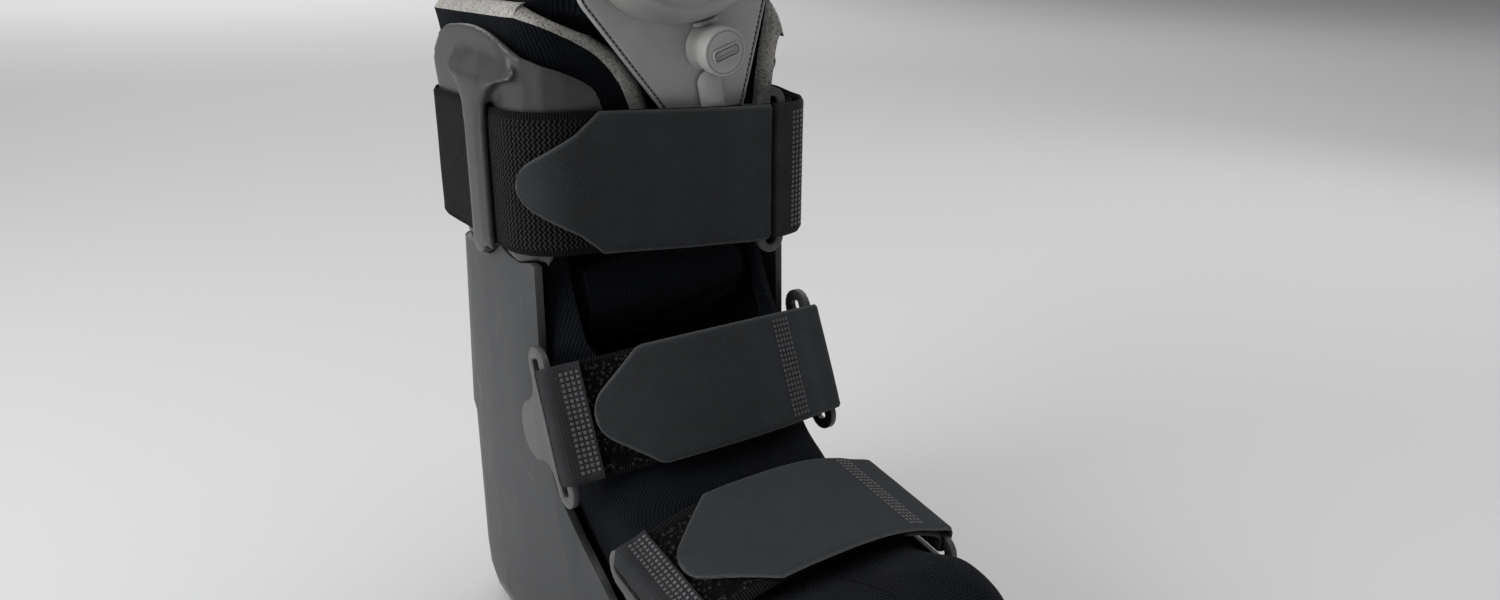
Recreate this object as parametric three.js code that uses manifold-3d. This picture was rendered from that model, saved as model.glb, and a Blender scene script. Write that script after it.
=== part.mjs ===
// Medical walking boot, low model with an air pump, fastened with three straps.
// Millimetres, +Z up. The toe points to -Y, and the wearer's right side is at -X.
// The origin is on the ground under the middle of the boot.

import * as THREE from 'three';
import { mergeVertices } from 'three/addons/utils/BufferGeometryUtils.js';
import Module from 'manifold-3d';

const wasm = await Module();
wasm.setup();

// Driving sizes of the hard parts
const FOOT_LENGTH = 312; // shell, heel to toe
const HALF_WIDTH = 67; // shell, middle to the outside of an upright
const SHELL_TOP = 209; // shoulder of the uprights
const SHELL_WALL = 3.5;
const SOLE_HEIGHT = 10; // outsole, ground to top
const HEEL_CUP_HEIGHT = 118;
const BACK_GAP_HALF = 38; // half the opening between the uprights at the back
const PLATE_WALL = 3.2;
const PLATE_RISE = 92; // top of the fan above the shoulder
const POST_WIDTH = 19;
const POST_DEPTH = 4.2;
const RING_THICKNESS = 3;
const RING_LENGTH = 70;
const RING_REACH = 38; // bar's middle to the end of the ear
const RING_BAR = 8;
const SLOT_WIDTH = 6.5;
const PIN_DIAMETER = 8;
const PIN_HEIGHT = 1.8;
const LINK_LENGTH = 77;
const LINK_WIDTH = 14;
const LINK_THICKNESS = 3;
const LINK_BAR = 3.7;
const LINK_INSET = 12.6; // link's middle, in from the calf's left side

// Driving sizes of the soft parts
const WRAP_WALL = 9;
const WRAP_RISE = 103; // top edge of the wrap above the shoulder
const FLAP_WALL = 6;
const FLAP_RISE = 172; // top of the front flap above the shoulder
const CALF_FLARE = 4; // how far the calf opens from the strap to the wrap's edge
const STRAP_WALL = 2;
const CALF_STRAP_WIDTH = 60;
const ANKLE_STRAP_WIDTH = 51;
const FOREFOOT_STRAP_WIDTH = 57;
const TAB_TIP_RADIUS = 15;

// Driving sizes of the pump
const PANEL_WALL = 2.6;
const PANEL_LENGTH = 118;
const PANEL_TIP_HALF = 17;
const PANEL_WIDE_HALF = 50;
const PANEL_SIDE = 24.2; // panel's tip, to the wearer's left of the boot's middle
const PANEL_OVERLAP = 10; // how far the tip reaches down behind the calf strap
const PANEL_TILT = 15; // degrees, the panel's top leaning to the wearer's right
const BULB_TURN = -8; // degrees, the bulb against the panel
const CHANNEL_WIDTH = 12;
const CHANNEL_HEIGHT = 3;
const BULB_HALF_WIDTH = 42;
const BULB_HALF_HEIGHT = 32;
const BULB_DEPTH = 15;
const VALVE_DIAMETER = 19;
const VALVE_HEIGHT = 10;
const BUTTON_DIAMETER = 20.4;
const BUTTON_THICKNESS = 3.4;
const BUTTON_TRAVEL = 1.5;

// Clearances
const GAP = 0.4; // between pieces that touch
const SEAM = 0.6; // between the plates and the shell's shoulder
const SOLE_SEAM = 0.9; // between the outsole and the shell

const HEEL_Y = 158;
const alongFoot = (share) => HEEL_Y - share * FOOT_LENGTH;
const degrees = (angle) => (angle * Math.PI) / 180;
const mix = (a, b, t) => a + (b - a) * t;
const bump = (t) => (Math.abs(t) < 1 ? (1 - t * t) ** 2 : 0);

// Basic solids

function grid(ring, rows, index) {
  const faces = [];
  for (let j = 0; j < rows - 1; j += 1) {
    for (let i = 0; i < ring; i += 1) {
      const k = (i + 1) % ring;
      faces.push(index(i, j), index(k, j), index(k, j + 1));
      faces.push(index(i, j), index(k, j + 1), index(i, j + 1));
    }
  }
  return faces;
}

function closedGeometry(points, faces) {
  const geometry = new THREE.BufferGeometry();
  const spots = points.flatMap((p) => [p.x, p.y, p.z]);
  geometry.setAttribute('position', new THREE.Float32BufferAttribute(spots, 3));
  let volume = 0;
  for (let f = 0; f < faces.length; f += 3) {
    const [a, b, c] = [points[faces[f]], points[faces[f + 1]], points[faces[f + 2]]];
    volume += a.dot(new THREE.Vector3().crossVectors(b, c));
  }
  geometry.setIndex(volume < 0 ? faces.toReversed() : faces);
  return geometry;
}

// A skin through closed rings of as many points each, capped at both ends.
function loft(rings) {
  const size = rings[0].length;
  const points = rings.flat();
  const faces = grid(size, rings.length, (i, j) => j * size + i);
  for (const [ring, flip] of [[0, true], [rings.length - 1, false]]) {
    const outline = rings[ring];
    const middle = outline.reduce((sum, p) => sum.add(p), new THREE.Vector3()).divideScalar(size);
    const centre = points.push(middle) - 1;
    for (let i = 0; i < size; i += 1) {
      const a = ring * size + i;
      const b = ring * size + ((i + 1) % size);
      faces.push(centre, flip ? b : a, flip ? a : b);
    }
  }
  return closedGeometry(points, faces);
}

// A sheet of some thickness: place(u, v, side) gives its inner (side 0) and outer (side 1) skin.
function sheet(columns, rows, place) {
  const rings = [];
  for (let i = 0; i <= columns; i += 1) {
    const ring = [];
    for (let j = 0; j <= rows; j += 1) ring.push(place(i / columns, j / rows, 1));
    for (let j = rows; j >= 0; j -= 1) ring.push(place(i / columns, j / rows, 0));
    rings.push(ring);
  }
  const size = rings[0].length;
  const points = rings.flat();
  const faces = grid(size, rings.length, (i, j) => j * size + i);
  for (const [ring, flip] of [[0, true], [columns, false]]) {
    const base = ring * size;
    for (let j = 0; j < rows; j += 1) {
      const [a, b] = [base + j, base + j + 1];
      const [c, d] = [base + size - 2 - j, base + size - 1 - j];
      faces.push(...(flip ? [a, c, b, a, d, c] : [a, b, c, a, c, d]));
    }
  }
  return closedGeometry(points, faces);
}

// The points of an outline, without those that repeat the one before
function apart(points) {
  return points.filter((p, k) => p.distanceTo(points[(k + points.length - 1) % points.length]) > 0.01);
}

// A flat outline pushed along an axis: 'x' takes (y, z), 'y' takes (x, z), 'z' takes (x, y).
function prism(shape, axis, from, to, curveSegments = 8) {
  const { shape: edge, holes } = shape.extractPoints(curveSegments);
  if (THREE.ShapeUtils.isClockWise(edge)) edge.reverse();
  const plain = new THREE.Shape(apart(edge));
  plain.holes = holes.map((hole) => new THREE.Path(apart(hole)));
  const geometry = new THREE.ExtrudeGeometry(plain, { depth: to - from, bevelEnabled: false });
  const turn = {
    x: [[0, 1, 0], [0, 0, 1], [1, 0, 0]],
    y: [[1, 0, 0], [0, 0, 1], [0, -1, 0]],
    z: [[1, 0, 0], [0, 1, 0], [0, 0, 1]],
  }[axis].map((column) => new THREE.Vector3(...column));
  geometry.translate(0, 0, axis === 'y' ? -to : from);
  return geometry.applyMatrix4(new THREE.Matrix4().makeBasis(...turn));
}

function outline(points) {
  return new THREE.Shape(points.map(([a, b]) => new THREE.Vector2(a, b)));
}

// Points on a smooth line through the given ones
function smooth(points, parts) {
  if (points.length < 3) return points;
  const curve = new THREE.CatmullRomCurve3(points, false, 'centripetal');
  return curve.getPoints(Math.round((points.length - 1) * parts));
}

function solid(geometry) {
  const bare = geometry.clone();
  bare.deleteAttribute('normal');
  bare.deleteAttribute('uv');
  const merged = mergeVertices(bare, 1e-4);
  return new wasm.Manifold(new wasm.Mesh({
    numProp: 3,
    vertProperties: new Float32Array(merged.attributes.position.array),
    triVerts: new Uint32Array(merged.index.array),
  }));
}

function geometryOf(body) {
  const mesh = body.getMesh();
  const geometry = new THREE.BufferGeometry();
  geometry.setAttribute('position', new THREE.BufferAttribute(new Float32Array(mesh.vertProperties), 3));
  geometry.setIndex(new THREE.BufferAttribute(new Uint32Array(mesh.triVerts), 1));
  return geometry;
}

// A closed path of straight sides and round corners, measured from the middle of its front.
// point(s) gives the place, and the way out of the path there, at the length s to the wearer's left.
function roundedLoop({ half, front, back, frontRight, frontLeft, backRadius }) {
  const pieces = [];
  const corner = (x, y, radius, start) => {
    pieces.push({ x, y, radius, start, length: (radius * Math.PI) / 2 });
  };
  const straight = (x, y, angle, length) => pieces.push({ x, y, angle, length });
  straight(0, front, 0, half - frontLeft);
  corner(half - frontLeft, front + frontLeft, frontLeft, -90);
  straight(half, front + frontLeft, 90, back - front - frontLeft - backRadius);
  corner(half - backRadius, back - backRadius, backRadius, 0);
  straight(half - backRadius, back, 180, 2 * (half - backRadius));
  corner(-half + backRadius, back - backRadius, backRadius, 90);
  straight(-half, back - backRadius, 270, back - front - frontRight - backRadius);
  corner(-half + frontRight, front + frontRight, frontRight, 180);
  straight(-half + frontRight, front, 0, half - frontRight);
  const total = pieces.reduce((sum, piece) => sum + piece.length, 0);
  const point = (s, offset = 0) => {
    let left = ((s % total) + total) % total;
    let piece = pieces[0];
    for (piece of pieces) {
      if (left <= piece.length) break;
      left -= piece.length;
    }
    if (piece.radius) {
      const angle = degrees(piece.start) + left / piece.radius;
      const reach = piece.radius + offset;
      return new THREE.Vector2(piece.x + reach * Math.cos(angle), piece.y + reach * Math.sin(angle));
    }
    const angle = degrees(piece.angle);
    const way = new THREE.Vector2(Math.cos(angle), Math.sin(angle));
    const out = new THREE.Vector2(way.y, -way.x);
    return new THREE.Vector2(piece.x, piece.y).addScaledVector(way, left).addScaledVector(out, offset);
  };
  const onSide = (y) => half - frontLeft + (frontLeft * Math.PI) / 2 + y - front - frontLeft;
  // Lengths to bend a strip at: the ends of the pieces, and steps inside the corners
  const stops = pieces.flatMap((piece, k) => {
    const start = pieces.slice(0, k).reduce((sum, { length }) => sum + length, 0);
    const steps = piece.radius ? Math.ceil(piece.radius / 5) + 2 : 2;
    return Array.from({ length: steps }, (_, i) => start + (piece.length * i) / steps);
  });
  return { total, point, onSide, stops, half, front, back, frontLeft };
}

// The calf's outside, which the plates, straps and flap follow
const CALF_HALF = HALF_WIDTH - SHELL_WALL - GAP;
const LINK_SIDE = CALF_HALF - LINK_INSET;
const STRAP_BASE = SHELL_TOP + 4.6;
const STRAP_TOP = STRAP_BASE + CALF_STRAP_WIDTH;
const calf = roundedLoop({
  half: CALF_HALF,
  front: alongFoot(0.348),
  back: alongFoot(-0.006),
  frontRight: 0.27 * CALF_HALF,
  frontLeft: 0.27 * CALF_HALF,
  backRadius: 0.33 * CALF_HALF,
});
const WRAP_TOP = SHELL_TOP + WRAP_RISE;
const flare = (z) => (CALF_FLARE * Math.max(0, z - STRAP_TOP)) / (WRAP_TOP - STRAP_TOP);
const onCalf = (s, z, offset) => {
  const p = calf.point(s, offset + flare(z));
  return new THREE.Vector3(p.x, p.y, z);
};

// Outsole: rocker bottom, flat under the arch. Lengths are shares of the foot's length,
// widths shares of the half width, lifts shares of the sole's height.
const SOLE_ROWS = [
  { along: 0.016, width: 0.5, lift: 0.62 },
  { along: 0.034, width: 0.72, lift: 0.44 },
  { along: 0.08, width: 0.86, lift: 0.18 },
  { along: 0.16, width: 0.9, lift: 0 },
  { along: 0.4, width: 0.86, lift: 0 },
  { along: 0.64, width: 0.84, lift: 0 },
  { along: 0.78, width: 0.8, lift: 0.14 },
  { along: 0.87, width: 0.71, lift: 0.34 },
  { along: 0.93, width: 0.56, lift: 0.56 },
  { along: 0.966, width: 0.34, lift: 0.78 },
];
function soleSolid(grow) {
  const rings = SOLE_ROWS.map(({ along, width, lift }, k) => {
    const end = k === 0 ? -grow : k === SOLE_ROWS.length - 1 ? grow : 0;
    const y = alongFoot(along) - end;
    const x = width * HALF_WIDTH + grow;
    const low = lift * SOLE_HEIGHT - grow;
    const high = SOLE_HEIGHT + grow;
    const edge = 0.25 * (high - low);
    return [[-x + edge, low], [x - edge, low], [x, low + edge], [x, high], [-x, high], [-x, low + edge]]
      .map(([a, b]) => new THREE.Vector3(a, y, b));
  });
  return loft(rings);
}

// Shell footprint, from the middle of the heel along the wearer's left side to the toe
const FOOTPRINT = [
  { along: -0.004, width: 0 },
  { along: -0.002, width: 0.3 },
  { along: 0.004, width: 0.55 },
  { along: 0.018, width: 0.76 },
  { along: 0.042, width: 0.9 },
  { along: 0.078, width: 0.975 },
  { along: 0.12, width: 1 },
  { along: 0.25, width: 1 },
  { along: 0.35, width: 0.955 },
  { along: 0.43, width: 0.925 },
  { along: 0.52, width: 0.9 },
  { along: 0.66, width: 0.905 },
  { along: 0.78, width: 0.88 },
  { along: 0.87, width: 0.83 },
  { along: 0.935, width: 0.7 },
  { along: 0.975, width: 0.47 },
  { along: 0.992, width: 0.2 },
];
// Shell side, from the ground up: how far it tucks in under, and how the back leans in
const SHELL_ROWS = [
  { height: 0.038, tuck: 1.5, lean: 0 },
  { height: 0.06, tuck: 0.7, lean: 0 },
  { height: 0.1, tuck: 0.2, lean: 0 },
  { height: 0.17, tuck: 0, lean: 0 },
  { height: 0.53, tuck: 0, lean: 0 },
  { height: 0.56, tuck: -0.3, lean: 0 },
  { height: 0.98, tuck: 0, lean: 0.028 },
  { height: 1.04, tuck: 0, lean: 0.03 },
];
const footSide = smooth(FOOTPRINT.map(({ along, width }) => new THREE.Vector3(width, along, 0)), 1.25);
function footprint(inset, lean) {
  const side = footSide.map(({ x: width, y: along }) => {
    const shift = lean * Math.max(0, 1 - along / 0.2);
    return new THREE.Vector2(width * HALF_WIDTH, alongFoot(along + shift));
  });
  const other = side.slice(1).reverse().map((p) => new THREE.Vector2(-p.x, p.y));
  const loop = [...side, ...other];
  return loop.map((p, k) => {
    const before = loop[(k + loop.length - 1) % loop.length];
    const after = loop[(k + 1) % loop.length];
    const way = after.clone().sub(before).normalize();
    return new THREE.Vector2(p.x + way.y * inset, p.y - way.x * inset);
  });
}
const level = (ring, z) => ring.map((p) => new THREE.Vector3(p.x, p.y, z));

// Side view of the shell: tray wall, lug of the forefoot ring, slanted edge, lug of the ankle
// ring, lip and scalloped shoulder. Lengths are shares of the foot's length and the shoulder.
const SIDE_VIEW = [
  { along: 1.06, height: 0.14 },
  { along: 0.97, height: 0.15 },
  { along: 0.88, height: 0.19 },
  { along: 0.77, height: 0.26 },
  { along: 0.715, height: 0.33 },
  { along: 0.685, height: 0.395 },
  { along: 0.65, height: 0.425 },
  { along: 0.612, height: 0.425 },
  { along: 0.58, height: 0.395 },
  { along: 0.553, height: 0.35 },
  { along: 0.525, height: 0.338 },
  { along: 0.503, height: 0.356 },
  { along: 0.43, height: 0.435, sharp: true },
  { along: 0.372, height: 0.513, sharp: true },
  { along: 0.366, height: 0.555 },
  { along: 0.388, height: 0.6 },
  { along: 0.39, height: 0.65 },
  { along: 0.368, height: 0.71 },
  { along: 0.348, height: 0.76, sharp: true },
  { along: 0.346, height: 1, sharp: true },
  { along: 0.335, height: 1.006 },
  { along: 0.31, height: 0.998 },
  { along: 0.28, height: 1.003 },
  { along: 0.25, height: 1.018, sharp: true },
  { along: 0.222, height: 0.99 },
  { along: 0.195, height: 0.981 },
  { along: 0.165, height: 0.986 },
  { along: 0.132, height: 1.006, sharp: true },
  { along: 0.1, height: 0.985 },
  { along: -0.1, height: 0.96, sharp: true },
];
function sideView(raise = 0) {
  const runs = [[]];
  for (const { along, height, sharp } of SIDE_VIEW) {
    const spot = new THREE.Vector3(alongFoot(along), height * SHELL_TOP + raise, 0);
    runs.at(-1).push(spot);
    if (sharp) runs.push([spot]);
  }
  const edge = runs.filter((run) => run.length > 1).flatMap((run) => smooth(run, 2));
  const clean = edge.filter((spot, k) => k === 0 || spot.distanceTo(edge[k - 1]) > 0.01);
  const line = clean.map(({ x, y }) => [x, y]);
  return outline([...line, [line.at(-1)[0], -SHELL_TOP], [line[0][0], -SHELL_TOP]]);
}

// Ring frames: the middle of each bar, and the tilt of the bars from upright
const ANKLE = { y: alongFoot(0.423), z: 0.702 * SHELL_TOP, tilt: -24.7, side: 0.99 };
const FOREFOOT = { y: alongFoot(0.65), z: 0.478 * SHELL_TOP, tilt: -81, side: 0.912 };
const EAR_RADIUS = 0.36 * RING_REACH;
function ringGroup({ y, z, tilt }) {
  const group = new THREE.Group();
  group.position.set(0, y, z);
  group.rotation.x = degrees(tilt);
  return group;
}
const ringFace = (place) => place.side * HALF_WIDTH + GAP;
function pinCentre({ y, z, tilt }) {
  const reach = RING_REACH - EAR_RADIUS;
  return { y: y + reach * Math.cos(degrees(tilt)), z: z + reach * Math.sin(degrees(tilt)) };
}
function pin(place, side, diameter, from, to) {
  const { y, z } = pinCentre(place);
  const disc = new THREE.CylinderGeometry(diameter / 2, diameter / 2, to - from, 16);
  disc.rotateZ(Math.PI / 2).translate((side * (from + to)) / 2, y, z);
  return solid(disc);
}

function shellGeometry() {
  const outer = loft(SHELL_ROWS.map(({ height, tuck, lean }) => (
    level(footprint(tuck * SHELL_WALL, lean), height * SHELL_TOP))));
  const floor = SOLE_HEIGHT + SOLE_SEAM + SHELL_WALL;
  const inside = SHELL_ROWS.filter(({ height }) => height * SHELL_TOP > floor + 1);
  const inner = loft([
    level(footprint(2.4 * SHELL_WALL, 0), floor),
    ...inside.map(({ height, tuck, lean }) => (
      level(footprint((tuck + 1) * SHELL_WALL, lean), height * SHELL_TOP))),
    level(footprint(SHELL_WALL, inside.at(-1).lean), 1.3 * SHELL_TOP),
  ]);
  const backGap = new THREE.Shape();
  const rise = 0.35 * BACK_GAP_HALF;
  backGap.moveTo(-BACK_GAP_HALF, 2 * SHELL_TOP);
  backGap.lineTo(-BACK_GAP_HALF, HEEL_CUP_HEIGHT + rise);
  backGap.quadraticCurveTo(-BACK_GAP_HALF, HEEL_CUP_HEIGHT, -BACK_GAP_HALF + rise, HEEL_CUP_HEIGHT);
  backGap.lineTo(BACK_GAP_HALF - rise, HEEL_CUP_HEIGHT);
  backGap.quadraticCurveTo(BACK_GAP_HALF, HEEL_CUP_HEIGHT, BACK_GAP_HALF, HEEL_CUP_HEIGHT + rise);
  backGap.lineTo(BACK_GAP_HALF, 2 * SHELL_TOP);
  let body = solid(outer)
    .intersect(solid(prism(sideView(), 'x', -2 * HALF_WIDTH, 2 * HALF_WIDTH)))
    .subtract(solid(inner))
    .subtract(solid(prism(backGap, 'y', alongFoot(0.12), alongFoot(-0.1))))
    .subtract(solid(soleSolid(SOLE_SEAM)));
  for (const place of [ANKLE, FOREFOOT]) {
    for (const side of [-1, 1]) {
      const face = ringFace(place);
      body = body.add(pin(place, side, PIN_DIAMETER, face - GAP - 0.8 * SHELL_WALL, face + PIN_HEIGHT));
    }
  }
  return geometryOf(body);
}

// Rings: a bar and a rail with round ends, a slot between them for the strap, and a round ear
// on the shell
function ringGeometry(place, side) {
  const half = RING_LENGTH / 2;
  const front = -RING_BAR / 2;
  const ends = 1.05 * RING_BAR;
  const rail = front + 2 * ends;
  const ear = RING_REACH - EAR_RADIUS;
  const turn = degrees(62);
  const joinX = ear + EAR_RADIUS * Math.cos(turn) * -0.2;
  const joinY = EAR_RADIUS * 0.98;
  const shape = new THREE.Shape();
  shape.moveTo(front, -half + ends);
  shape.lineTo(front, half - ends);
  shape.absarc(front + ends, half - ends, ends, Math.PI, 0, true);
  shape.bezierCurveTo(rail, 0.55 * half, rail + 2, joinY + 1, joinX, joinY);
  shape.absarc(ear, 0, EAR_RADIUS, Math.PI / 2 - 0.1, -Math.PI / 2 + 0.1, true);
  shape.lineTo(joinX, -joinY);
  shape.bezierCurveTo(rail + 2, -joinY - 1, rail, -0.55 * half, rail, -half + ends);
  shape.absarc(front + ends, -half + ends, ends, 0, -Math.PI, true);
  const slot = new THREE.Path();
  const near = RING_BAR / 2 - 2.5;
  const far = near + SLOT_WIDTH;
  const slotHalf = half - 0.65 * RING_BAR;
  const round = 0.2 * SLOT_WIDTH;
  slot.moveTo(near, round - slotHalf);
  slot.lineTo(near, slotHalf - round);
  slot.lineTo(near + round, slotHalf);
  slot.lineTo(far - round, slotHalf);
  slot.lineTo(far, slotHalf - round);
  slot.lineTo(far, round - slotHalf);
  slot.lineTo(far - round, -slotHalf);
  slot.lineTo(near + round, -slotHalf);
  shape.holes.push(slot);
  const from = ringFace(place);
  const range = side > 0 ? [from, from + RING_THICKNESS] : [-from - RING_THICKNESS, -from];
  return prism(shape, 'x', ...range, 5);
}

function ringMesh(place, side) {
  const group = ringGroup(place);
  group.updateMatrixWorld(true);
  const ring = ringGeometry(place, side).applyMatrix4(group.matrixWorld);
  const face = ringFace(place);
  const recess = pin(place, side, PIN_DIAMETER + 2 * GAP, face - 1, face + PIN_HEIGHT + GAP);
  return geometryOf(solid(ring).subtract(recess));
}

// Padded wrap: sections from the top edge down the leg, round the heel and along the foot.
// Each runs from a point on the front to a point on the back or the sole, given as shares of
// the foot's length and of the shoulder's height. Half widths are shares of the calf's, and the
// corners (front right, back, front left) are round by shares of the section's own half width.
const BRIM = WRAP_TOP / SHELL_TOP;
const WAIST = STRAP_TOP / SHELL_TOP;
const WRAP_ROWS = [
  { front: [0.359, BRIM], back: [-0.015, BRIM], half: 1.04, round: [0.3, 0.36, 0.12] },
  { front: [0.345, WAIST], back: [-0.003, WAIST], half: 0.982, round: [0.3, 0.36, 0.12] },
  { front: [0.345, 1.022], back: [0.001, 1.022], half: 0.982, round: [0.3, 0.36, 0.2] },
  { front: [0.352, 0.97], back: [0.058, 0.98], half: 0.962, round: [0.34, 0.38] },
  { front: [0.385, 0.88], back: [0.048, 0.86], half: 0.95, round: [0.42, 0.38] },
  { front: [0.43, 0.8], back: [0.04, 0.74], half: 0.94, round: [0.5, 0.36] },
  { front: [0.474, 0.7], back: [0.028, 0.55], half: 0.915, round: [0.55, 0.35] },
  { front: [0.506, 0.615], back: [0.024, 0.3], half: 0.89, round: [0.52, 0.4] },
  { front: [0.551, 0.572], back: [0.034, 0.15], half: 0.87, round: [0.48, 0.34] },
  { front: [0.577, 0.549], back: [0.1, 0.0708], half: 0.86, round: [0.45, 0.24] },
  { front: [0.651, 0.527], back: [0.35, 0.0708], half: 0.85, round: [0.45, 0.2] },
  { front: [0.747, 0.51], back: [0.62, 0.0708], half: 0.85, round: [0.46, 0.2] },
  { front: [0.833, 0.55], back: [0.79, 0.0708], half: 0.84, round: [0.44, 0.24] },
  { front: [0.905, 0.54], back: [0.872, 0.073], half: 0.76, round: [0.46, 0.3] },
  { front: [0.952, 0.45], back: [0.926, 0.084], half: 0.6, round: [0.5, 0.35] },
  { front: [0.967, 0.34], back: [0.95, 0.11], half: 0.45, round: [0.5, 0.4] },
];
const WRAP_POINTS = 36;
function wrapRing(row, inset) {
  const [front, back] = [row.front, row.back].map(([along, height]) => (
    new THREE.Vector2(alongFoot(along), height * SHELL_TOP)));
  const depth = front.distanceTo(back);
  const half = row.half * CALF_HALF - inset;
  const round = (share) => Math.max(inset / 3 + 1, share * row.half * CALF_HALF - inset);
  const loop = roundedLoop({
    half,
    front: inset,
    back: depth - inset,
    frontRight: round(row.round[0]),
    frontLeft: round(row.round[2] ?? row.round[0]),
    backRadius: round(row.round[1]),
  });
  return Array.from({ length: WRAP_POINTS }, (_, k) => {
    const p = loop.point(((k + 0.5) / WRAP_POINTS) * loop.total);
    const spot = front.clone().lerp(back, p.y / depth);
    return new THREE.Vector3(p.x, spot.x, spot.y);
  });
}
// The wrap's mouth: below the calf strap it is as wide as the padded flap, and above it its right
// edge slopes up to the side. Each edge is cut slantwise, so that its foam faces forwards.
const MOUTH = { half: 48, base: 0.79 * SHELL_TOP, step: STRAP_BASE + 1, round: 13 };
const MOUTH_EDGE = [
  [-17.5, MOUTH.step - 2],
  [-17.5, WRAP_TOP - 41],
  [-21, WRAP_TOP - 31],
  [-25, WRAP_TOP - 24],
  [-31, WRAP_TOP - 17],
  [-41, WRAP_TOP - 10.5],
  [-50, WRAP_TOP - 6.5],
  [-60, WRAP_TOP - 3.5],
  [-80, WRAP_TOP + 1],
];
const EDGE_SLANT = { right: 1.45, left: -1.43 };
const LEFT_EDGE = 64.3;
function mouthRight(z) {
  const k = Math.max(1, MOUTH_EDGE.findIndex(([, height]) => height >= z));
  if (z >= MOUTH_EDGE.at(-1)[1]) return MOUTH_EDGE.at(-1)[0];
  const [[x0, z0], [x1, z1]] = [MOUTH_EDGE[k - 1], MOUTH_EDGE[k]];
  return mix(x0, x1, Math.max(0, (z - z0) / (z1 - z0)));
}
function wrapGeometry() {
  const [first, last] = [WRAP_ROWS[0], WRAP_ROWS.at(-1)];
  const moved = (row, along, height) => ({
    ...row,
    front: [row.front[0] + along, row.front[1] + height],
    back: [row.back[0] + along, row.back[1] + height],
  });
  const above = moved(first, 0, 0.05);
  const beyond = moved(last, 0.04, 0);
  const outer = loft(WRAP_ROWS.map((row) => wrapRing(row, 0)));
  const inner = loft([above, ...WRAP_ROWS, beyond].map((row) => wrapRing(row, WRAP_WALL)));
  const { half, base, step, round } = MOUTH;
  const low = new THREE.Shape();
  low.moveTo(-half, step);
  low.lineTo(-half, base + round);
  low.quadraticCurveTo(-half, base, -half + round, base);
  low.lineTo(half - round, base);
  low.quadraticCurveTo(half, base, half, base + round);
  low.lineTo(half, step);
  const lowCut = prism(low, 'y', calf.front - CALF_HALF, calf.front + 2.2 * WRAP_WALL, 4);
  const high = outline([
    ...MOUTH_EDGE,
    [MOUTH_EDGE.at(-1)[0], 2 * WRAP_TOP],
    [LEFT_EDGE, 2 * WRAP_TOP],
    [LEFT_EDGE, MOUTH.step - 2],
  ]);
  const highCut = prism(high, 'y', calf.front - 2 * WRAP_WALL, calf.front + 1.35 * WRAP_WALL);
  const spots = highCut.attributes.position;
  for (let k = 0; k < spots.count; k += 1) {
    const x = spots.getX(k);
    const slant = x < 0 ? EDGE_SLANT.right : EDGE_SLANT.left;
    spots.setX(k, x + slant * (spots.getY(k) - calf.front));
  }
  return geometryOf(solid(outer).subtract(solid(inner)).subtract(solid(lowCut)).subtract(solid(highCut)));
}

// Padded front flap: inside the wrap at the sides, out through its mouth in the middle, and puffed
// out to the mouth's full width below the calf strap
const FLAP = { sideTop: WRAP_TOP + 10, sideBase: SHELL_TOP + 22, forward: 47.5, rows: 11 };
const FLAP_EDGE = 18; // how far inside the mouth's right edge the flap comes forwards
// Its columns, as lengths along the calf's outline from the middle of the front
const FLAP_COLUMNS = [
  -148, -131, -114, -98, -84, -73, -66, -59, -51, -47.5, -43, -37, -32, -24, -16, -10, -4,
  2, 8, 16, 24, 32, 37, 43, 47.5, 51, 59, 66, 73, 84, 96,
];
function flapGeometry() {
  const top = SHELL_TOP + FLAP_RISE;
  const low = MOUTH.base + 4;
  const shelf = MOUTH.step - 3.5;
  const share = (s, z) => {
    const wide = Math.min(1, Math.max(0, (shelf - z) / 7));
    const right = mix(Math.max(-50, mouthRight(z) + FLAP_EDGE), -FLAP.forward, wide);
    const t = (s - (FLAP.forward + right) / 2) / ((FLAP.forward - right) / 2);
    return Math.min(1, mix(2.4, 14, wide) * bump(t));
  };
  const raise = (s) => Math.min(1, 1.5 * bump((s - 4) / 95));
  const levels = (base, crest) => [
    ...[0, 0.1, 0.3, 0.55, 0.8, 1].map((t) => mix(base, MOUTH.step - 10, t)),
    ...[0, 0.36, 0.5, 0.63, 0.81, 1].map((t) => mix(shelf, crest, t)),
  ];
  const last = FLAP_COLUMNS.length - 1;
  return sheet(last, FLAP.rows, (u, v, side) => {
    const s = FLAP_COLUMNS[Math.round(u * last)];
    const crest = mix(FLAP.sideTop, top, raise(s));
    const middle = Math.abs(s) < MOUTH.half;
    const base = low + 20 * Math.abs((s + 8) / MOUTH.half) ** 3;
    const z = middle ? levels(base, crest)[Math.round(v * FLAP.rows)] : mix(FLAP.sideBase, crest, v);
    const drop = share(s, z);
    const fold = drop * bump((z - MOUTH.base - 21) / 26);
    const front = -1.52 * WRAP_WALL + drop * 1.02 * WRAP_WALL + 0.9 * WRAP_WALL * fold;
    const edge = Math.min(1, v * 9, (1 - v) * 14);
    const wall = FLAP_WALL * (0.55 + 0.45 * edge) * (1 + 0.8 * fold);
    const inside = Math.max(front - wall, 0.6 - calf.frontLeft);
    return onCalf(s, z, side ? front - (1 - edge) * 0.2 * FLAP_WALL : inside);
  });
}

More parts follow.
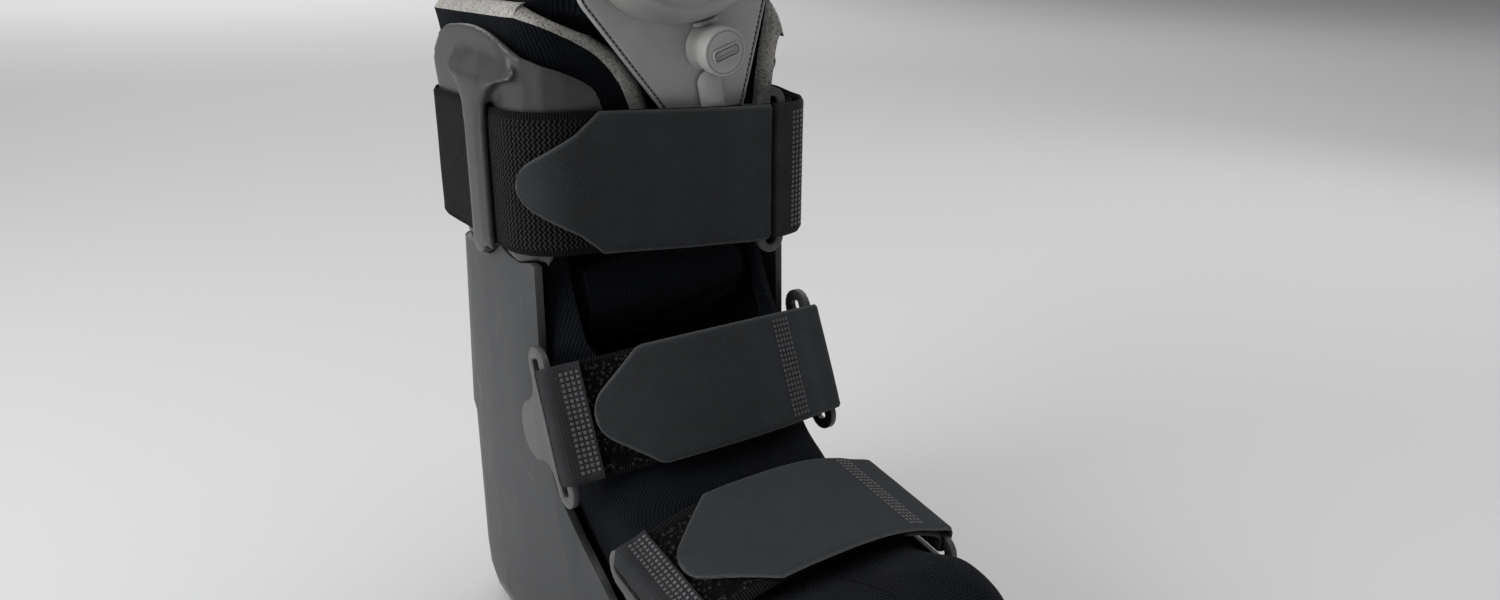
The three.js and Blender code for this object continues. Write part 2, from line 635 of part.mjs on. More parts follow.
// Upright plates: a fan on the calf, a lobe on the shell's shoulder, and a post standing off them
const POST_S = calf.onSide(alongFoot(0.232));
const FAN = [
  { reach: -1.0, base: 0.62, top: 0.7 },
  { reach: -0.96, base: 0.5, top: 0.77 },
  { reach: -0.88, base: 0.38, top: 0.815 },
  { reach: -0.72, base: 0.18, top: 0.868 },
  { reach: -0.5, base: -0.1, top: 0.934 },
  { reach: -0.4, base: -0.1, top: 0.988 },
  { reach: -0.3, base: -0.1, top: 1.017 },
  { reach: -0.1, base: -0.1, top: 1.042 },
  { reach: 0.15, base: -0.1, top: 1.05 },
  { reach: 0.5, base: -0.1, top: 1.034 },
  { reach: 0.56, base: 0.04, top: 1.024 },
  { reach: 0.7, base: 0.2, top: 0.992 },
  { reach: 0.85, base: 0.45, top: 0.925 },
  { reach: 0.97, base: 0.64, top: 0.84 },
  { reach: 1.01, base: 0.7, top: 0.76 },
];
const POST_CLEAR = GAP + PLATE_WALL + GAP + STRAP_WALL + 2 * GAP;
const POST = [
  { height: -0.1, width: 0.9, back: 0.5, front: 0.35 },
  { height: -0.02, width: 1.3, back: 0.5, front: 0.8 },
  { height: 0.03, width: 1.16, back: 0.5, front: 0.97 },
  { height: 0.034, width: 1.15, back: 1, front: 1 },
  { height: 0.1, width: 1.02, back: 1, front: 1 },
  { height: 0.6, width: 1.02, back: 1, front: 1 },
  { height: 0.7, width: 1.2, back: 1, front: 1 },
  { height: 0.725, width: 1.32, back: 1, front: 0.98 },
  { height: 0.73, width: 1.35, back: 0.5, front: 0.98 },
  { height: 0.78, width: 1.75, back: 0.5, front: 0.93 },
  { height: 0.815, width: 2.3, back: 0.5, front: 0.87 },
  { height: 0.84, width: 3, back: 0.5, front: 0.78 },
  { height: 0.87, width: 3.1, back: 0.5, front: 0.55 },
  { height: 0.915, width: 2.8, back: 0.5, front: 0.28 },
  { height: 0.96, width: 2.3, back: 0.5, front: 0.08 },
];
function plateGeometry(side, frontReach) {
  const rows = smooth(FAN.filter(({ reach }) => reach >= -frontReach).map((row) => (
    new THREE.Vector3(row.reach, row.base, row.top))), 2);
  const span = PLATE_RISE * 0.66;
  const kink = STRAP_TOP / PLATE_RISE - SHELL_TOP / PLATE_RISE;
  const at = (s, z, offset) => {
    const p = onCalf(s, z, offset);
    return new THREE.Vector3(side * p.x, p.y, z);
  };
  const fan = sheet(rows.length - 1, 4, (u, v, layer) => {
    const { x: reach, y: base, z: top } = rows[Math.round(u * (rows.length - 1))];
    const middle = Math.min(mix(base, top, 0.8), Math.max(mix(base, top, 0.2), kink));
    const rise = v < 0.5 ? mix(base, middle, 2 * v) : mix(middle, top, 2 * v - 1);
    return at(POST_S + reach * span, SHELL_TOP + PLATE_RISE * rise, GAP + layer * PLATE_WALL);
  });
  const inside = POST_CLEAR;
  const outside = POST_CLEAR + POST_DEPTH;
  const post = sheet(POST.length - 1, 4, (u, v, layer) => {
    const row = POST[Math.round(u * (POST.length - 1))];
    const t = 2 * v - 1;
    const s = POST_S + Math.max((t * row.width * POST_WIDTH) / 2, -frontReach * span);
    const crown = 1 - 0.1 * t ** 4;
    const low = row.back === 1 ? inside : GAP + 0.5 * PLATE_WALL;
    const z = SHELL_TOP + row.height * PLATE_RISE;
    const face = mix(GAP + 0.6 * PLATE_WALL, outside, row.front);
    return at(s, z, layer ? face * crown : low);
  });
  const cut = prism(sideView(SEAM), 'x', -3 * HALF_WIDTH, 3 * HALF_WIDTH);
  return geometryOf(solid(fan).add(solid(post)).subtract(solid(cut)));
}

// Straps: a ribbon along a path, each point with its place, low edge and high edge
function ribbon(path, wall) {
  const last = path.length - 1;
  const out = path.map((_, k) => {
    const way = path[Math.min(k + 1, last)].p.clone().sub(path[Math.max(k - 1, 0)].p).normalize();
    return new THREE.Vector2(way.y, -way.x);
  });
  return sheet(last, 1, (u, v, side) => {
    const k = Math.round(u * last);
    const spot = path[k].p.clone().addScaledVector(out[k], (side - 0.5) * wall);
    return new THREE.Vector3(spot.x, spot.y, mix(path[k].low, path[k].high, v));
  });
}

// Half width of a tab at the distance d from its tip: a round tip, then straight flanks
const TAPER = degrees(40);
function tabHalf(d, full) {
  const bend = TAB_TIP_RADIUS * (1 - Math.sin(TAPER));
  if (d < bend) return Math.sqrt(2 * TAB_TIP_RADIUS * d - d * d);
  return Math.min(full, TAB_TIP_RADIUS * Math.cos(TAPER) + (d - bend) * Math.tan(TAPER));
}
const TIP_STEPS = [0.4, 1.6, 3.4, 5.4, 9, 14, 20];
const taperEnd = (full) => (
  TAB_TIP_RADIUS * (1 - Math.sin(TAPER)) + (full - TAB_TIP_RADIUS * Math.cos(TAPER)) / Math.tan(TAPER));

// Calf strap, on a path round the calf plates with a tight corner at the link
const calfPath = roundedLoop({
  half: calf.half,
  front: calf.front,
  back: calf.back,
  frontRight: 0.27 * CALF_HALF,
  frontLeft: 0.07 * CALF_HALF,
  backRadius: 0.33 * CALF_HALF,
});
const INNER_LAYER = GAP + PLATE_WALL + GAP + STRAP_WALL / 2 + 0.2;
const OUTER_LAYER = INNER_LAYER + STRAP_WALL + 1.6 * GAP;
const LINK_LAYER = INNER_LAYER + STRAP_WALL / 2 + GAP + LINK_THICKNESS / 2;
const OVER_LINK = LINK_LAYER + LINK_THICKNESS / 2 + GAP + STRAP_WALL / 2;
const STRAP_DROP = 6.5; // the strap hangs lower at the link
function calfPoint(s, layer) {
  const near = Math.min(1, Math.max(0, (s + 60) / 100)) * Math.min(1, Math.max(0, (80 - s) / 24));
  const drop = STRAP_DROP * near * near * (3 - 2 * near);
  return { p: calfPath.point(s, layer), low: STRAP_BASE - drop, high: STRAP_TOP - 0.6 * drop };
}
// Round one of the link's bars, from over it to under it; way is 1 with the slot on the left
function linkTurn(bar, way) {
  const edge = bar + (way * LINK_BAR) / 2;
  const turn = [[-1.2, 1], [0.5, 1], [1.7, 0.62], [1.9, 0], [1.7, -0.62], [0.5, -1], [-1.2, -1]];
  const half = (OVER_LINK - INNER_LAYER) / 2;
  return turn.map(([out, up]) => calfPoint(edge + way * out, LINK_LAYER + up * half));
}
function calfLoopGeometry() {
  const bar = LINK_SIDE + (LINK_WIDTH - LINK_BAR) / 2;
  const stop = LINK_SIDE - LINK_WIDTH / 2 - 7;
  const path = [];
  for (const [s, layer] of [[84, 0], [76, 0.05], [70, 0.3], [67, 0.55], [64, 0.85], [61, 1], [58.7, 1]]) {
    path.push(calfPoint(s, mix(OUTER_LAYER, OVER_LINK, layer)));
  }
  path.push(...linkTurn(bar, -1));
  const ahead = [...calfPath.stops, 70, 75, 80].sort((a, b) => a - b).filter((s) => s > bar + 2.5);
  const behind = ahead.map((s) => (s > calfPath.total / 2 ? s - calfPath.total : s));
  for (const s of [...behind, -20, 0, 20, stop]) path.push(calfPoint(s, INNER_LAYER));
  return ribbon(path, STRAP_WALL);
}
const CALF_TIP = -64;
function calfTabGeometry() {
  const bar = LINK_SIDE - (LINK_WIDTH - LINK_BAR) / 2;
  const full = CALF_STRAP_WIDTH / 2;
  const path = [];
  const narrow = (s, layer) => {
    const spot = calfPoint(s, layer);
    const half = tabHalf(s - CALF_TIP, full + 1) / (full + 1);
    const [middle, reach] = [(spot.low + spot.high) / 2, (spot.high - spot.low) / 2];
    return { p: spot.p, low: middle - half * reach, high: middle + half * reach };
  };
  for (const d of TIP_STEPS) path.push(narrow(CALF_TIP + d, OUTER_LAYER));
  for (const d of [26, 33, 44, 60, 76]) path.push(narrow(CALF_TIP + d, OUTER_LAYER));
  for (const [s, layer] of [[20, 0], [28, 0.2], [35, 0.7], [40, 1]]) {
    path.push(calfPoint(s, mix(OUTER_LAYER, OVER_LINK, layer)));
  }
  path.push(...linkTurn(bar, 1));
  path.push(calfPoint(LINK_SIDE - LINK_WIDTH / 2 - 6.5, INNER_LAYER));
  return ribbon(path, STRAP_WALL);
}
function linkGeometry() {
  const half = LINK_WIDTH / 2;
  const middle = (calfPoint(LINK_SIDE, 0).low + calfPoint(LINK_SIDE, 0).high) / 2;
  const straight = LINK_LENGTH / 2 - half;
  const oval = (Kind, radius) => {
    const path = new Kind();
    path.moveTo(LINK_SIDE - radius, middle - straight);
    path.lineTo(LINK_SIDE - radius, middle + straight);
    path.absarc(LINK_SIDE, middle + straight, radius, Math.PI, 0, true);
    path.lineTo(LINK_SIDE + radius, middle - straight);
    path.absarc(LINK_SIDE, middle - straight, radius, 0, -Math.PI, true);
    return path;
  };
  const shape = oval(THREE.Shape, half);
  shape.holes.push(oval(THREE.Path, half - LINK_BAR));
  const y = calf.front - LINK_LAYER;
  return prism(shape, 'y', y - LINK_THICKNESS / 2, y + LINK_THICKNESS / 2, 5);
}

// Ankle and forefoot straps, in the frame of their rings: x across, -y out from the foot,
// z along the bars. The bow is the strap's middle line, and the ends fold round the bars.
function strapFrame(place, bow) {
  const inner = ringFace(place);
  const bar = { in: inner - GAP - STRAP_WALL / 2, out: inner + RING_THICKNESS + GAP + STRAP_WALL / 2 };
  const front = RING_BAR / 2;
  const reach = bar.in - 1.5;
  const line = (x, layer) => {
    const share = Math.abs(x) / reach;
    const y = -(front + bow.start + bow.rise * (1 - share ** bow.power));
    const slope = (bow.rise * bow.power * share ** (bow.power - 1) * Math.sign(x)) / reach;
    return new THREE.Vector2(x, y).addScaledVector(new THREE.Vector2(slope, -1).normalize(), layer);
  };
  const slotY = RING_BAR / 2 - 2.5 + GAP + STRAP_WALL / 2;
  const turn = [
    [bar.in - 0.5, -front - 0.2],
    [bar.in, -front + 2],
    [bar.in, slotY - 1],
    [mix(bar.in, bar.out, 0.12), slotY + 0.1],
    [mix(bar.in, bar.out, 0.5), slotY + 0.5],
    [mix(bar.in, bar.out, 0.88), slotY + 0.1],
    [bar.out, slotY - 1],
    [bar.out, -front + 1],
    [bar.out - 0.6, -front - 2.4],
  ];
  return { line, turn, reach };
}
const LAYER = STRAP_WALL + GAP;
function bowLoopGeometry(place, bow, width) {
  const { line, turn, reach } = strapFrame(place, bow);
  const edge = { low: -width / 2 + 0.6, high: width / 2 - 0.6 };
  const path = [];
  for (let x = -bow.tip - 1.2; x > -reach + 1; x -= 2.5) path.push({ p: line(x, LAYER), ...edge });
  for (const [x, y] of turn.toReversed()) path.push({ p: new THREE.Vector2(-x, y), ...edge });
  for (let x = -reach; x < 0.3 * reach; x += 5) path.push({ p: line(x, 0), ...edge });
  return ribbon(path, STRAP_WALL);
}
function bowTabGeometry(place, bow, width) {
  const { line, turn, reach } = strapFrame(place, bow);
  const edge = { low: -width / 2, high: width / 2 };
  const path = [];
  const tip = -bow.tip;
  for (const d of TIP_STEPS) {
    const half = tabHalf(d, width / 2);
    path.push({ p: line(tip + d, LAYER), low: -half, high: half });
  }
  for (let x = tip + taperEnd(width / 2); x < reach - 3; x += 5) path.push({ p: line(x, LAYER), ...edge });
  for (const [x, y] of turn.toReversed()) path.push({ p: new THREE.Vector2(x, y), ...edge });
  for (let x = reach; x > 0.6 * reach; x -= 5) path.push({ p: line(x, 0), ...edge });
  return ribbon(path, STRAP_WALL);
}

// Pump, in the frame of its panel: x across, y up the panel, z out of it
const BULB_UP = 77.5;
const VALVE_UP = 33.2;
const VALVE_SIDE = 3.5;
function panelShape() {
  const wide = 0.55 * PANEL_LENGTH;
  const top = 0.5 * PANEL_WIDE_HALF;
  const flank = PANEL_WIDE_HALF - 2;
  const outer = PANEL_WIDE_HALF + 3;
  const corner = PANEL_WIDE_HALF - 4;
  const shape = new THREE.Shape();
  shape.moveTo(-PANEL_TIP_HALF, 0);
  shape.lineTo(PANEL_TIP_HALF, 0);
  shape.lineTo(flank, wide);
  shape.bezierCurveTo(outer, wide + 14, corner, PANEL_LENGTH, top, PANEL_LENGTH);
  shape.lineTo(-top, PANEL_LENGTH);
  shape.bezierCurveTo(-corner, PANEL_LENGTH, -outer, wide + 14, -flank, wide);
  return shape;
}
function ridge(x, from, to) {
  const half = CHANNEL_WIDTH / 2;
  const crest = PANEL_WALL + 1.2 * CHANNEL_HEIGHT;
  const across = new THREE.Shape();
  across.moveTo(x - half, PANEL_WALL / 2);
  across.lineTo(x - half, PANEL_WALL);
  across.bezierCurveTo(x - half, crest, x + half, crest, x + half, PANEL_WALL);
  across.lineTo(x + half, PANEL_WALL / 2);
  const bar = prism(across, 'z', from, to, 6);
  const lay = new THREE.Matrix4().set(1, 0, 0, 0, 0, 0, -1, from + to, 0, 1, 0, 0, 0, 0, 0, 1);
  return solid(bar.applyMatrix4(lay));
}
function panelGeometry() {
  const sheetPart = solid(prism(panelShape(), 'z', 0, PANEL_WALL, 6));
  const reach = VALVE_DIAMETER / 2 + GAP;
  const lower = ridge(VALVE_SIDE - 2.5, 1, VALVE_UP - reach);
  const upper = ridge(VALVE_SIDE + 1, VALVE_UP + reach, BULB_UP - BULB_HALF_HEIGHT - 2 * GAP);
  return geometryOf(sheetPart.add(lower).add(upper));
}
function bulbGeometry() {
  const flank = [[0, 0], [1, 0], [1, 0.16], [0.96, 0.42], [0.86, 0.68], [0.7, 0.86]];
  const disc = [[0.56, 0.94], [0.52, 0.9], [0.3, 0.96], [0, 0.98]];
  const points = [...flank, ...disc].map(([r, h]) => new THREE.Vector2(r, h));
  const dome = new THREE.LatheGeometry(points, 32);
  return dome.rotateX(Math.PI / 2).scale(BULB_HALF_WIDTH, BULB_HALF_HEIGHT, BULB_DEPTH);
}
const turned = (profile) => (
  new THREE.LatheGeometry(profile.map(([r, h]) => new THREE.Vector2(r, h)), 24).rotateX(Math.PI / 2));
const STEM_RADIUS = 0.22 * VALVE_DIAMETER;
function valveGeometry() {
  const r = VALVE_DIAMETER / 2;
  const bore = STEM_RADIUS + GAP;
  const depth = BUTTON_TRAVEL + 4;
  return turned([
    [0, 0],
    [r, 0],
    [r, VALVE_HEIGHT - 0.8],
    [r - 0.8, VALVE_HEIGHT],
    [bore, VALVE_HEIGHT],
    [bore, VALVE_HEIGHT - depth],
    [0, VALVE_HEIGHT - depth],
  ]);
}
function buttonGeometry() {
  const r = BUTTON_DIAMETER / 2;
  const stem = 3.6;
  const top = BUTTON_THICKNESS;
  return turned([
    [0, -stem],
    [STEM_RADIUS, -stem],
    [STEM_RADIUS, 0],
    [r, 0],
    [r, top - 0.9],
    [r - 0.9, top],
    [0.72 * r, top],
    [0.7 * r, top - 0.5],
    [0.64 * r, top - 0.5],
    [0.62 * r, top],
    [0, top],
  ]);
}

const material = (color, roughness) => new THREE.MeshStandardMaterial({ color, roughness, metalness: 0 });
const SHELL_PLASTIC = material(0x3c3f42, 0.5);
const PLATE_PLASTIC = material(0x4f4e55, 0.45);
const RING_PLASTIC = material(0x4a4c50, 0.4);
const RUBBER = material(0x1f2022, 0.85);
const KNIT = material(0x14161c, 0.95);
const LOOP_CLOTH = material(0x101114, 0.95);
const TAB_CLOTH = material(0x26292b, 0.85);
const PUMP_PLASTIC = material(0x83857f, 0.5);

const boot = new THREE.Group();
function add(name, geometry, finish, parent = boot) {
  const mesh = new THREE.Mesh(geometry, finish);
  mesh.name = name;
  parent.add(mesh);
  return mesh;
}

add('outsole', soleSolid(0), RUBBER);
add('shell', shellGeometry(), SHELL_PLASTIC);
add('upright_plate_right', plateGeometry(-1, 1), PLATE_PLASTIC);
add('upright_plate_left', plateGeometry(1, 0.3), PLATE_PLASTIC);
add('liner_wrap', wrapGeometry(), KNIT);
add('front_flap', flapGeometry(), KNIT);

add('calf_ring', linkGeometry(), RING_PLASTIC);
add('calf_strap_loop', calfLoopGeometry(), LOOP_CLOTH);
add('calf_strap_tab', calfTabGeometry(), TAB_CLOTH);

// How each strap bows out from its rings, and where its tab's tip lies, across from the middle
const ANKLE_BOW = { start: 1.5, rise: 16, power: 2.1, tip: 55 };
const FOREFOOT_BOW = { start: 1.5, rise: 12, power: 2.8, tip: 51 };
const BOWS = [
  { name: 'ankle', place: ANKLE, width: ANKLE_STRAP_WIDTH, bow: ANKLE_BOW },
  { name: 'forefoot', place: FOREFOOT, width: FOREFOOT_STRAP_WIDTH, bow: FOREFOOT_BOW },
];
for (const { name, place, width, bow } of BOWS) {
  const group = ringGroup(place);
  boot.add(group);
  add(`${name}_strap_loop`, bowLoopGeometry(place, bow, width), LOOP_CLOTH, group);
  add(`${name}_strap_tab`, bowTabGeometry(place, bow, width), TAB_CLOTH, group);
  add(`${name}_ring_right`, ringMesh(place, -1), RING_PLASTIC);
  add(`${name}_ring_left`, ringMesh(place, 1), RING_PLASTIC);
}

// The pump's panel lies on the flap's front and leans with the calf's flare
const lean = Math.atan(CALF_FLARE / (WRAP_TOP - STRAP_TOP));
const pump = new THREE.Group();
pump.position.set(PANEL_SIDE, calf.front + 0.28 * WRAP_WALL, STRAP_TOP - PANEL_OVERLAP);
pump.rotation.set(Math.PI / 2 + lean, 0, 0);
boot.add(pump);
const panel = new THREE.Group();
panel.rotation.z = degrees(PANEL_TILT);
pump.add(panel);
const onPanel = PANEL_WALL + GAP;
add('pump_panel', panelGeometry(), PUMP_PLASTIC, panel);
const bulb = add('pump_bulb', bulbGeometry(), PUMP_PLASTIC, panel);
bulb.position.set(0, BULB_UP, onPanel);
bulb.rotation.z = degrees(BULB_TURN);
add('release_valve', valveGeometry(), PUMP_PLASTIC, panel).position.set(VALVE_SIDE, VALVE_UP, onPanel);
add('release_button', buttonGeometry(), PUMP_PLASTIC, panel).position.set(
  VALVE_SIDE,
  VALVE_UP,
  onPanel + VALVE_HEIGHT + BUTTON_TRAVEL + GAP,
);

// The origin goes under the middle of the whole boot
boot.updateMatrixWorld(true);
const box = new THREE.Box3().setFromObject(boot);
boot.position.y = -(box.min.y + box.max.y) / 2;

export default boot;
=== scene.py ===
"""Low medical walking boot with a hand pump, standing on a pale floor."""
import math

import bpy
from mathutils import Matrix, Vector, noise


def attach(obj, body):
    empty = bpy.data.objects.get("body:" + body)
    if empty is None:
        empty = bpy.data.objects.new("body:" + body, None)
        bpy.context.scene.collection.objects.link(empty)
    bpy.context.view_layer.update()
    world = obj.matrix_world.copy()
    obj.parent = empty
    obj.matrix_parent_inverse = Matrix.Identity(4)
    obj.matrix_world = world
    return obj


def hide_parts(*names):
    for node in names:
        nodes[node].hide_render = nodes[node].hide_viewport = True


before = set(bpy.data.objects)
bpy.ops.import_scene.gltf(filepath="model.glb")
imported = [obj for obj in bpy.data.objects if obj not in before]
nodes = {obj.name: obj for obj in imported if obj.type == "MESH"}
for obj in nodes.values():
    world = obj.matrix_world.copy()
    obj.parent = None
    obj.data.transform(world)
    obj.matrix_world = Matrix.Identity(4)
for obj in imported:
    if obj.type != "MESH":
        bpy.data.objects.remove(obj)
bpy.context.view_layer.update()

BOOT = "boot"
BUTTON = "button"
MM = 0.001

# Sizes shared with the solids, in millimetres
FOOT_LENGTH = 312
HALF_WIDTH = 67
SHELL_TOP = 209
SHELL_WALL = 3.5
GAP = 0.4
CALF_HALF = HALF_WIDTH - SHELL_WALL - GAP
STRAP_WALL = 2.0
PLATE_WALL = 3.2
WRAP_WALL = 9
FLAP_WALL = 6
CALF_STRAP_WIDTH = 60
STRAP_BASE = SHELL_TOP + 4.6
STRAP_TOP = STRAP_BASE + CALF_STRAP_WIDTH
WRAP_TOP = SHELL_TOP + 103
FLAP_TOP = SHELL_TOP + 172
CALF_FLARE = 4
HEEL_Y = 158
SET_BACK = -7.3997  # the whole boot stands centred on the origin

CAMERA_TURN, CAMERA_DROP, CAMERA_ROLL = 34.71, 19.10, 0.316  # degrees
CAMERA_PLACE = (-0.22445, -0.34002, 0.33818)
CAMERA_SENSOR, CAMERA_LENS = 36, 24.80


def along_foot(share):
    """A place along the boot, as a share of its length from the heel."""
    return HEEL_Y - share * FOOT_LENGTH


def mix(a, b, t):
    return a + (b - a) * t


def bump(t):
    """A smooth hump: 1 at the middle, 0 from -1 and from 1 on."""
    return (1 - t * t) ** 2 if abs(t) < 1 else 0.0


def clamp(value, low=0.0, high=1.0):
    return max(low, min(high, value))


def ease(t):
    t = clamp(t)
    return t * t * (3 - 2 * t)


def between(f, p1, p2, m1, m2):
    """A smooth line from p1 to p2 with the slopes m1 and m2 at its ends."""
    return ((2 * f ** 3 - 3 * f ** 2 + 1) * p1 + (f ** 3 - 2 * f ** 2 + f) * m1
            + (3 * f ** 2 - 2 * f ** 3) * p2 + (f ** 3 - f ** 2) * m2)


def set_camera():
    turn, drop, roll = (math.radians(angle) for angle in (CAMERA_TURN, CAMERA_DROP, CAMERA_ROLL))
    right = Vector((math.cos(turn), -math.sin(turn), 0))
    ahead = Vector((math.sin(turn) * math.cos(drop), math.cos(turn) * math.cos(drop), -math.sin(drop)))
    up = Vector((math.sin(turn) * math.sin(drop), math.cos(turn) * math.sin(drop), math.cos(drop)))
    across = math.cos(roll) * right + math.sin(roll) * up
    tall = math.cos(roll) * up - math.sin(roll) * right
    data = bpy.data.cameras.new("camera")
    data.sensor_width = CAMERA_SENSOR
    data.lens = CAMERA_LENS
    camera = bpy.data.objects.new("camera", data)
    bpy.context.scene.collection.objects.link(camera)
    place = Matrix((across, tall, -ahead)).transposed().to_4x4()
    x, y, z = CAMERA_PLACE
    place.translation = Vector((x, y + SET_BACK * MM, z))
    camera.matrix_world = place
    bpy.context.scene.camera = camera


set_camera()


class Paint:
    """A material's node tree, with short names for the nodes it uses."""

    def __init__(self, name, rough, **sockets):
        self.material = bpy.data.materials.new(name)
        self.material.use_nodes = True
        self.tree = self.material.node_tree
        self.shader = self.tree.nodes["Principled BSDF"]
        self.shader.inputs["Roughness"].default_value = rough
        for socket, value in sockets.items():
            self.shader.inputs[socket.replace("_", " ")].default_value = value
        self.where = self.tree.nodes.new("ShaderNodeTexCoord").outputs["Object"]

    def uv(self):
        node = self.tree.nodes.new("ShaderNodeUVMap")
        node.uv_map = "weave"
        return node.outputs["UV"]

    def link(self, source, target):
        if hasattr(source, "is_output"):
            self.tree.links.new(source, target)
        else:
            target.default_value = source

    def math(self, operation, a, b=0.0, c=0.0):
        node = self.tree.nodes.new("ShaderNodeMath")
        node.operation = operation
        for value, socket in zip((a, b, c), node.inputs):
            self.link(value, socket)
        return node.outputs[0]

    def wave(self, value, length):
        return self.math("SINE", self.math("MULTIPLY", value, 2 * math.pi / length))

    def split(self, vector):
        node = self.tree.nodes.new("ShaderNodeSeparateXYZ")
        self.link(vector, node.inputs[0])
        return node.outputs

    def stretch(self, vector, scale):
        node = self.tree.nodes.new("ShaderNodeMapping")
        self.link(vector, node.inputs["Vector"])
        node.inputs["Scale"].default_value = scale
        return node.outputs[0]

    def cloud(self, vector, scale, detail=3.0, rough=0.5):
        node = self.tree.nodes.new("ShaderNodeTexNoise")
        self.link(vector, node.inputs["Vector"])
        node.inputs["Scale"].default_value = scale
        node.inputs["Detail"].default_value = detail
        node.inputs["Roughness"].default_value = rough
        return node.outputs[0]

    def cells(self, vector, scale, feature="F1"):
        node = self.tree.nodes.new("ShaderNodeTexVoronoi")
        node.feature = feature
        self.link(vector, node.inputs["Vector"])
        node.inputs["Scale"].default_value = scale
        return node.outputs["Distance"]

    def fit(self, value, low, high, out_low=0.0, out_high=1.0):
        node = self.tree.nodes.new("ShaderNodeMapRange")
        for socket, number in zip(("Value", "From Min", "From Max", "To Min", "To Max"),
                                  (value, low, high, out_low, out_high)):
            self.link(number, node.inputs[socket])
        return node.outputs[0]

    def blend(self, share, first, second):
        node = self.tree.nodes.new("ShaderNodeMix")
        node.data_type = "RGBA"
        self.link(share, node.inputs["Factor"])
        for colour, socket in ((first, node.inputs["A"]), (second, node.inputs["B"])):
            self.link(colour if hasattr(colour, "is_output") else (*colour, 1), socket)
        return node.outputs["Result"]

    def edges(self):
        # Pointiness of the sharp edges, the mask for painted edge highlights.
        node = self.tree.nodes.new("ShaderNodeNewGeometry")
        return self.fit(node.outputs["Pointiness"], 0.52, 0.6)

    def colour(self, value):
        self.link(value, self.shader.inputs["Base Color"])

    def rough(self, value):
        self.link(value, self.shader.inputs["Roughness"])

    def relief(self, height, distance, strength=1.0):
        node = self.tree.nodes.new("ShaderNodeBump")
        node.inputs["Strength"].default_value = strength
        node.inputs["Distance"].default_value = distance
        self.link(height, node.inputs["Height"])
        before = self.shader.inputs["Normal"].links
        if before:
            self.tree.links.new(before[0].from_socket, node.inputs["Normal"])
        self.tree.links.new(node.outputs[0], self.shader.inputs["Normal"])


# Pale grey of the real scratches, also used for the painted highlight along sharp edges.
SCRATCH_AND_HIGHLIGHT_GREY = (0.2, 0.2, 0.205)


def moulded_plastic(name, dark, light, rough, scratched=0.0):
    """Black plastic with a painted highlight along its sharp edges and, where scratched, patches of thin
    scratches.
    """
    paint = Paint(name, rough, Specular_IOR_Level=0.4)
    mottle = paint.cloud(paint.stretch(paint.where, (9, 9, 3.2)), 9, 4, 0.62)
    base = paint.blend(paint.fit(mottle, 0.32, 0.7), dark, light)
    if scratched:
        warp = paint.cloud(paint.where, 22, 2)
        lines = paint.cells(paint.stretch(paint.where, (60, 60, 20)), 0.9, "DISTANCE_TO_EDGE")
        thin = paint.fit(paint.math("ADD", lines, paint.math("MULTIPLY", warp, 0.04)), 0.022, 0.03, 1, 0)
        patch = paint.fit(paint.cloud(paint.where, 26, 2), 0.56, 0.66, 0, scratched)
        base = paint.blend(paint.math("MULTIPLY", thin, patch), base, SCRATCH_AND_HIGHLIGHT_GREY)
    # Painted highlight: sharp edges blended towards pale grey by their pointiness.
    paint.colour(paint.blend(paint.math("MULTIPLY", paint.edges(), 0.45), base, SCRATCH_AND_HIGHLIGHT_GREY))
    grain = paint.cloud(paint.where, 2600, 2)
    paint.rough(paint.fit(mottle, 0.3, 0.7, rough - 0.05, rough + 0.07))
    paint.relief(grain, 0.00004)
    paint.relief(mottle, 0.0004, 0.35)
    return paint.material


def knit():
    """Dark ribbed knit, its rows of loops slanting to and fro."""
    paint = Paint("knit", 0.95, Specular_IOR_Level=0.1, Sheen_Weight=0.02, Sheen_Roughness=0.5)
    u, v, _ = paint.split(paint.uv())
    wobble = paint.math("MULTIPLY", paint.cloud(paint.uv(), 90, 2), 0.0016)
    rib = paint.wave(paint.math("ADD", u, wobble), 0.0019)
    slant = paint.math("PINGPONG", u, 0.00095)
    loops = paint.wave(paint.math("ADD", v, slant), 0.0016)
    height = paint.math("ADD", rib, paint.math("MULTIPLY", loops, 0.7))
    shade = paint.fit(paint.cloud(paint.where, 34, 4, 0.6), 0.35, 0.7)
    base = paint.blend(shade, (0.002, 0.0027, 0.0042), (0.0048, 0.0062, 0.0092))
    paint.colour(paint.blend(paint.fit(height, 0.2, 1.7, 0, 0.4), base, (0.016, 0.0195, 0.027)))
    paint.relief(height, 0.00035, 0.8)
    paint.relief(paint.cloud(paint.where, 60, 3), 0.002, 0.35)
    return paint.material


def foam():
    """Pale foam, open at the cut edges of the padding."""
    paint = Paint("open_foam", 0.95, Specular_IOR_Level=0.2)
    small = paint.cells(paint.where, 1500)
    large = paint.cells(paint.where, 620)
    speck = paint.math("MULTIPLY", small, large)
    base = paint.blend(paint.fit(speck, 0.02, 0.24), (0.07, 0.067, 0.062), (0.5, 0.485, 0.455))
    tone = paint.fit(paint.cloud(paint.where, 120, 3), 0.35, 0.7, 0, 0.5)
    paint.colour(paint.blend(tone, base, (0.27, 0.262, 0.248)))
    paint.relief(speck, 0.0008, 0.8)
    return paint.material


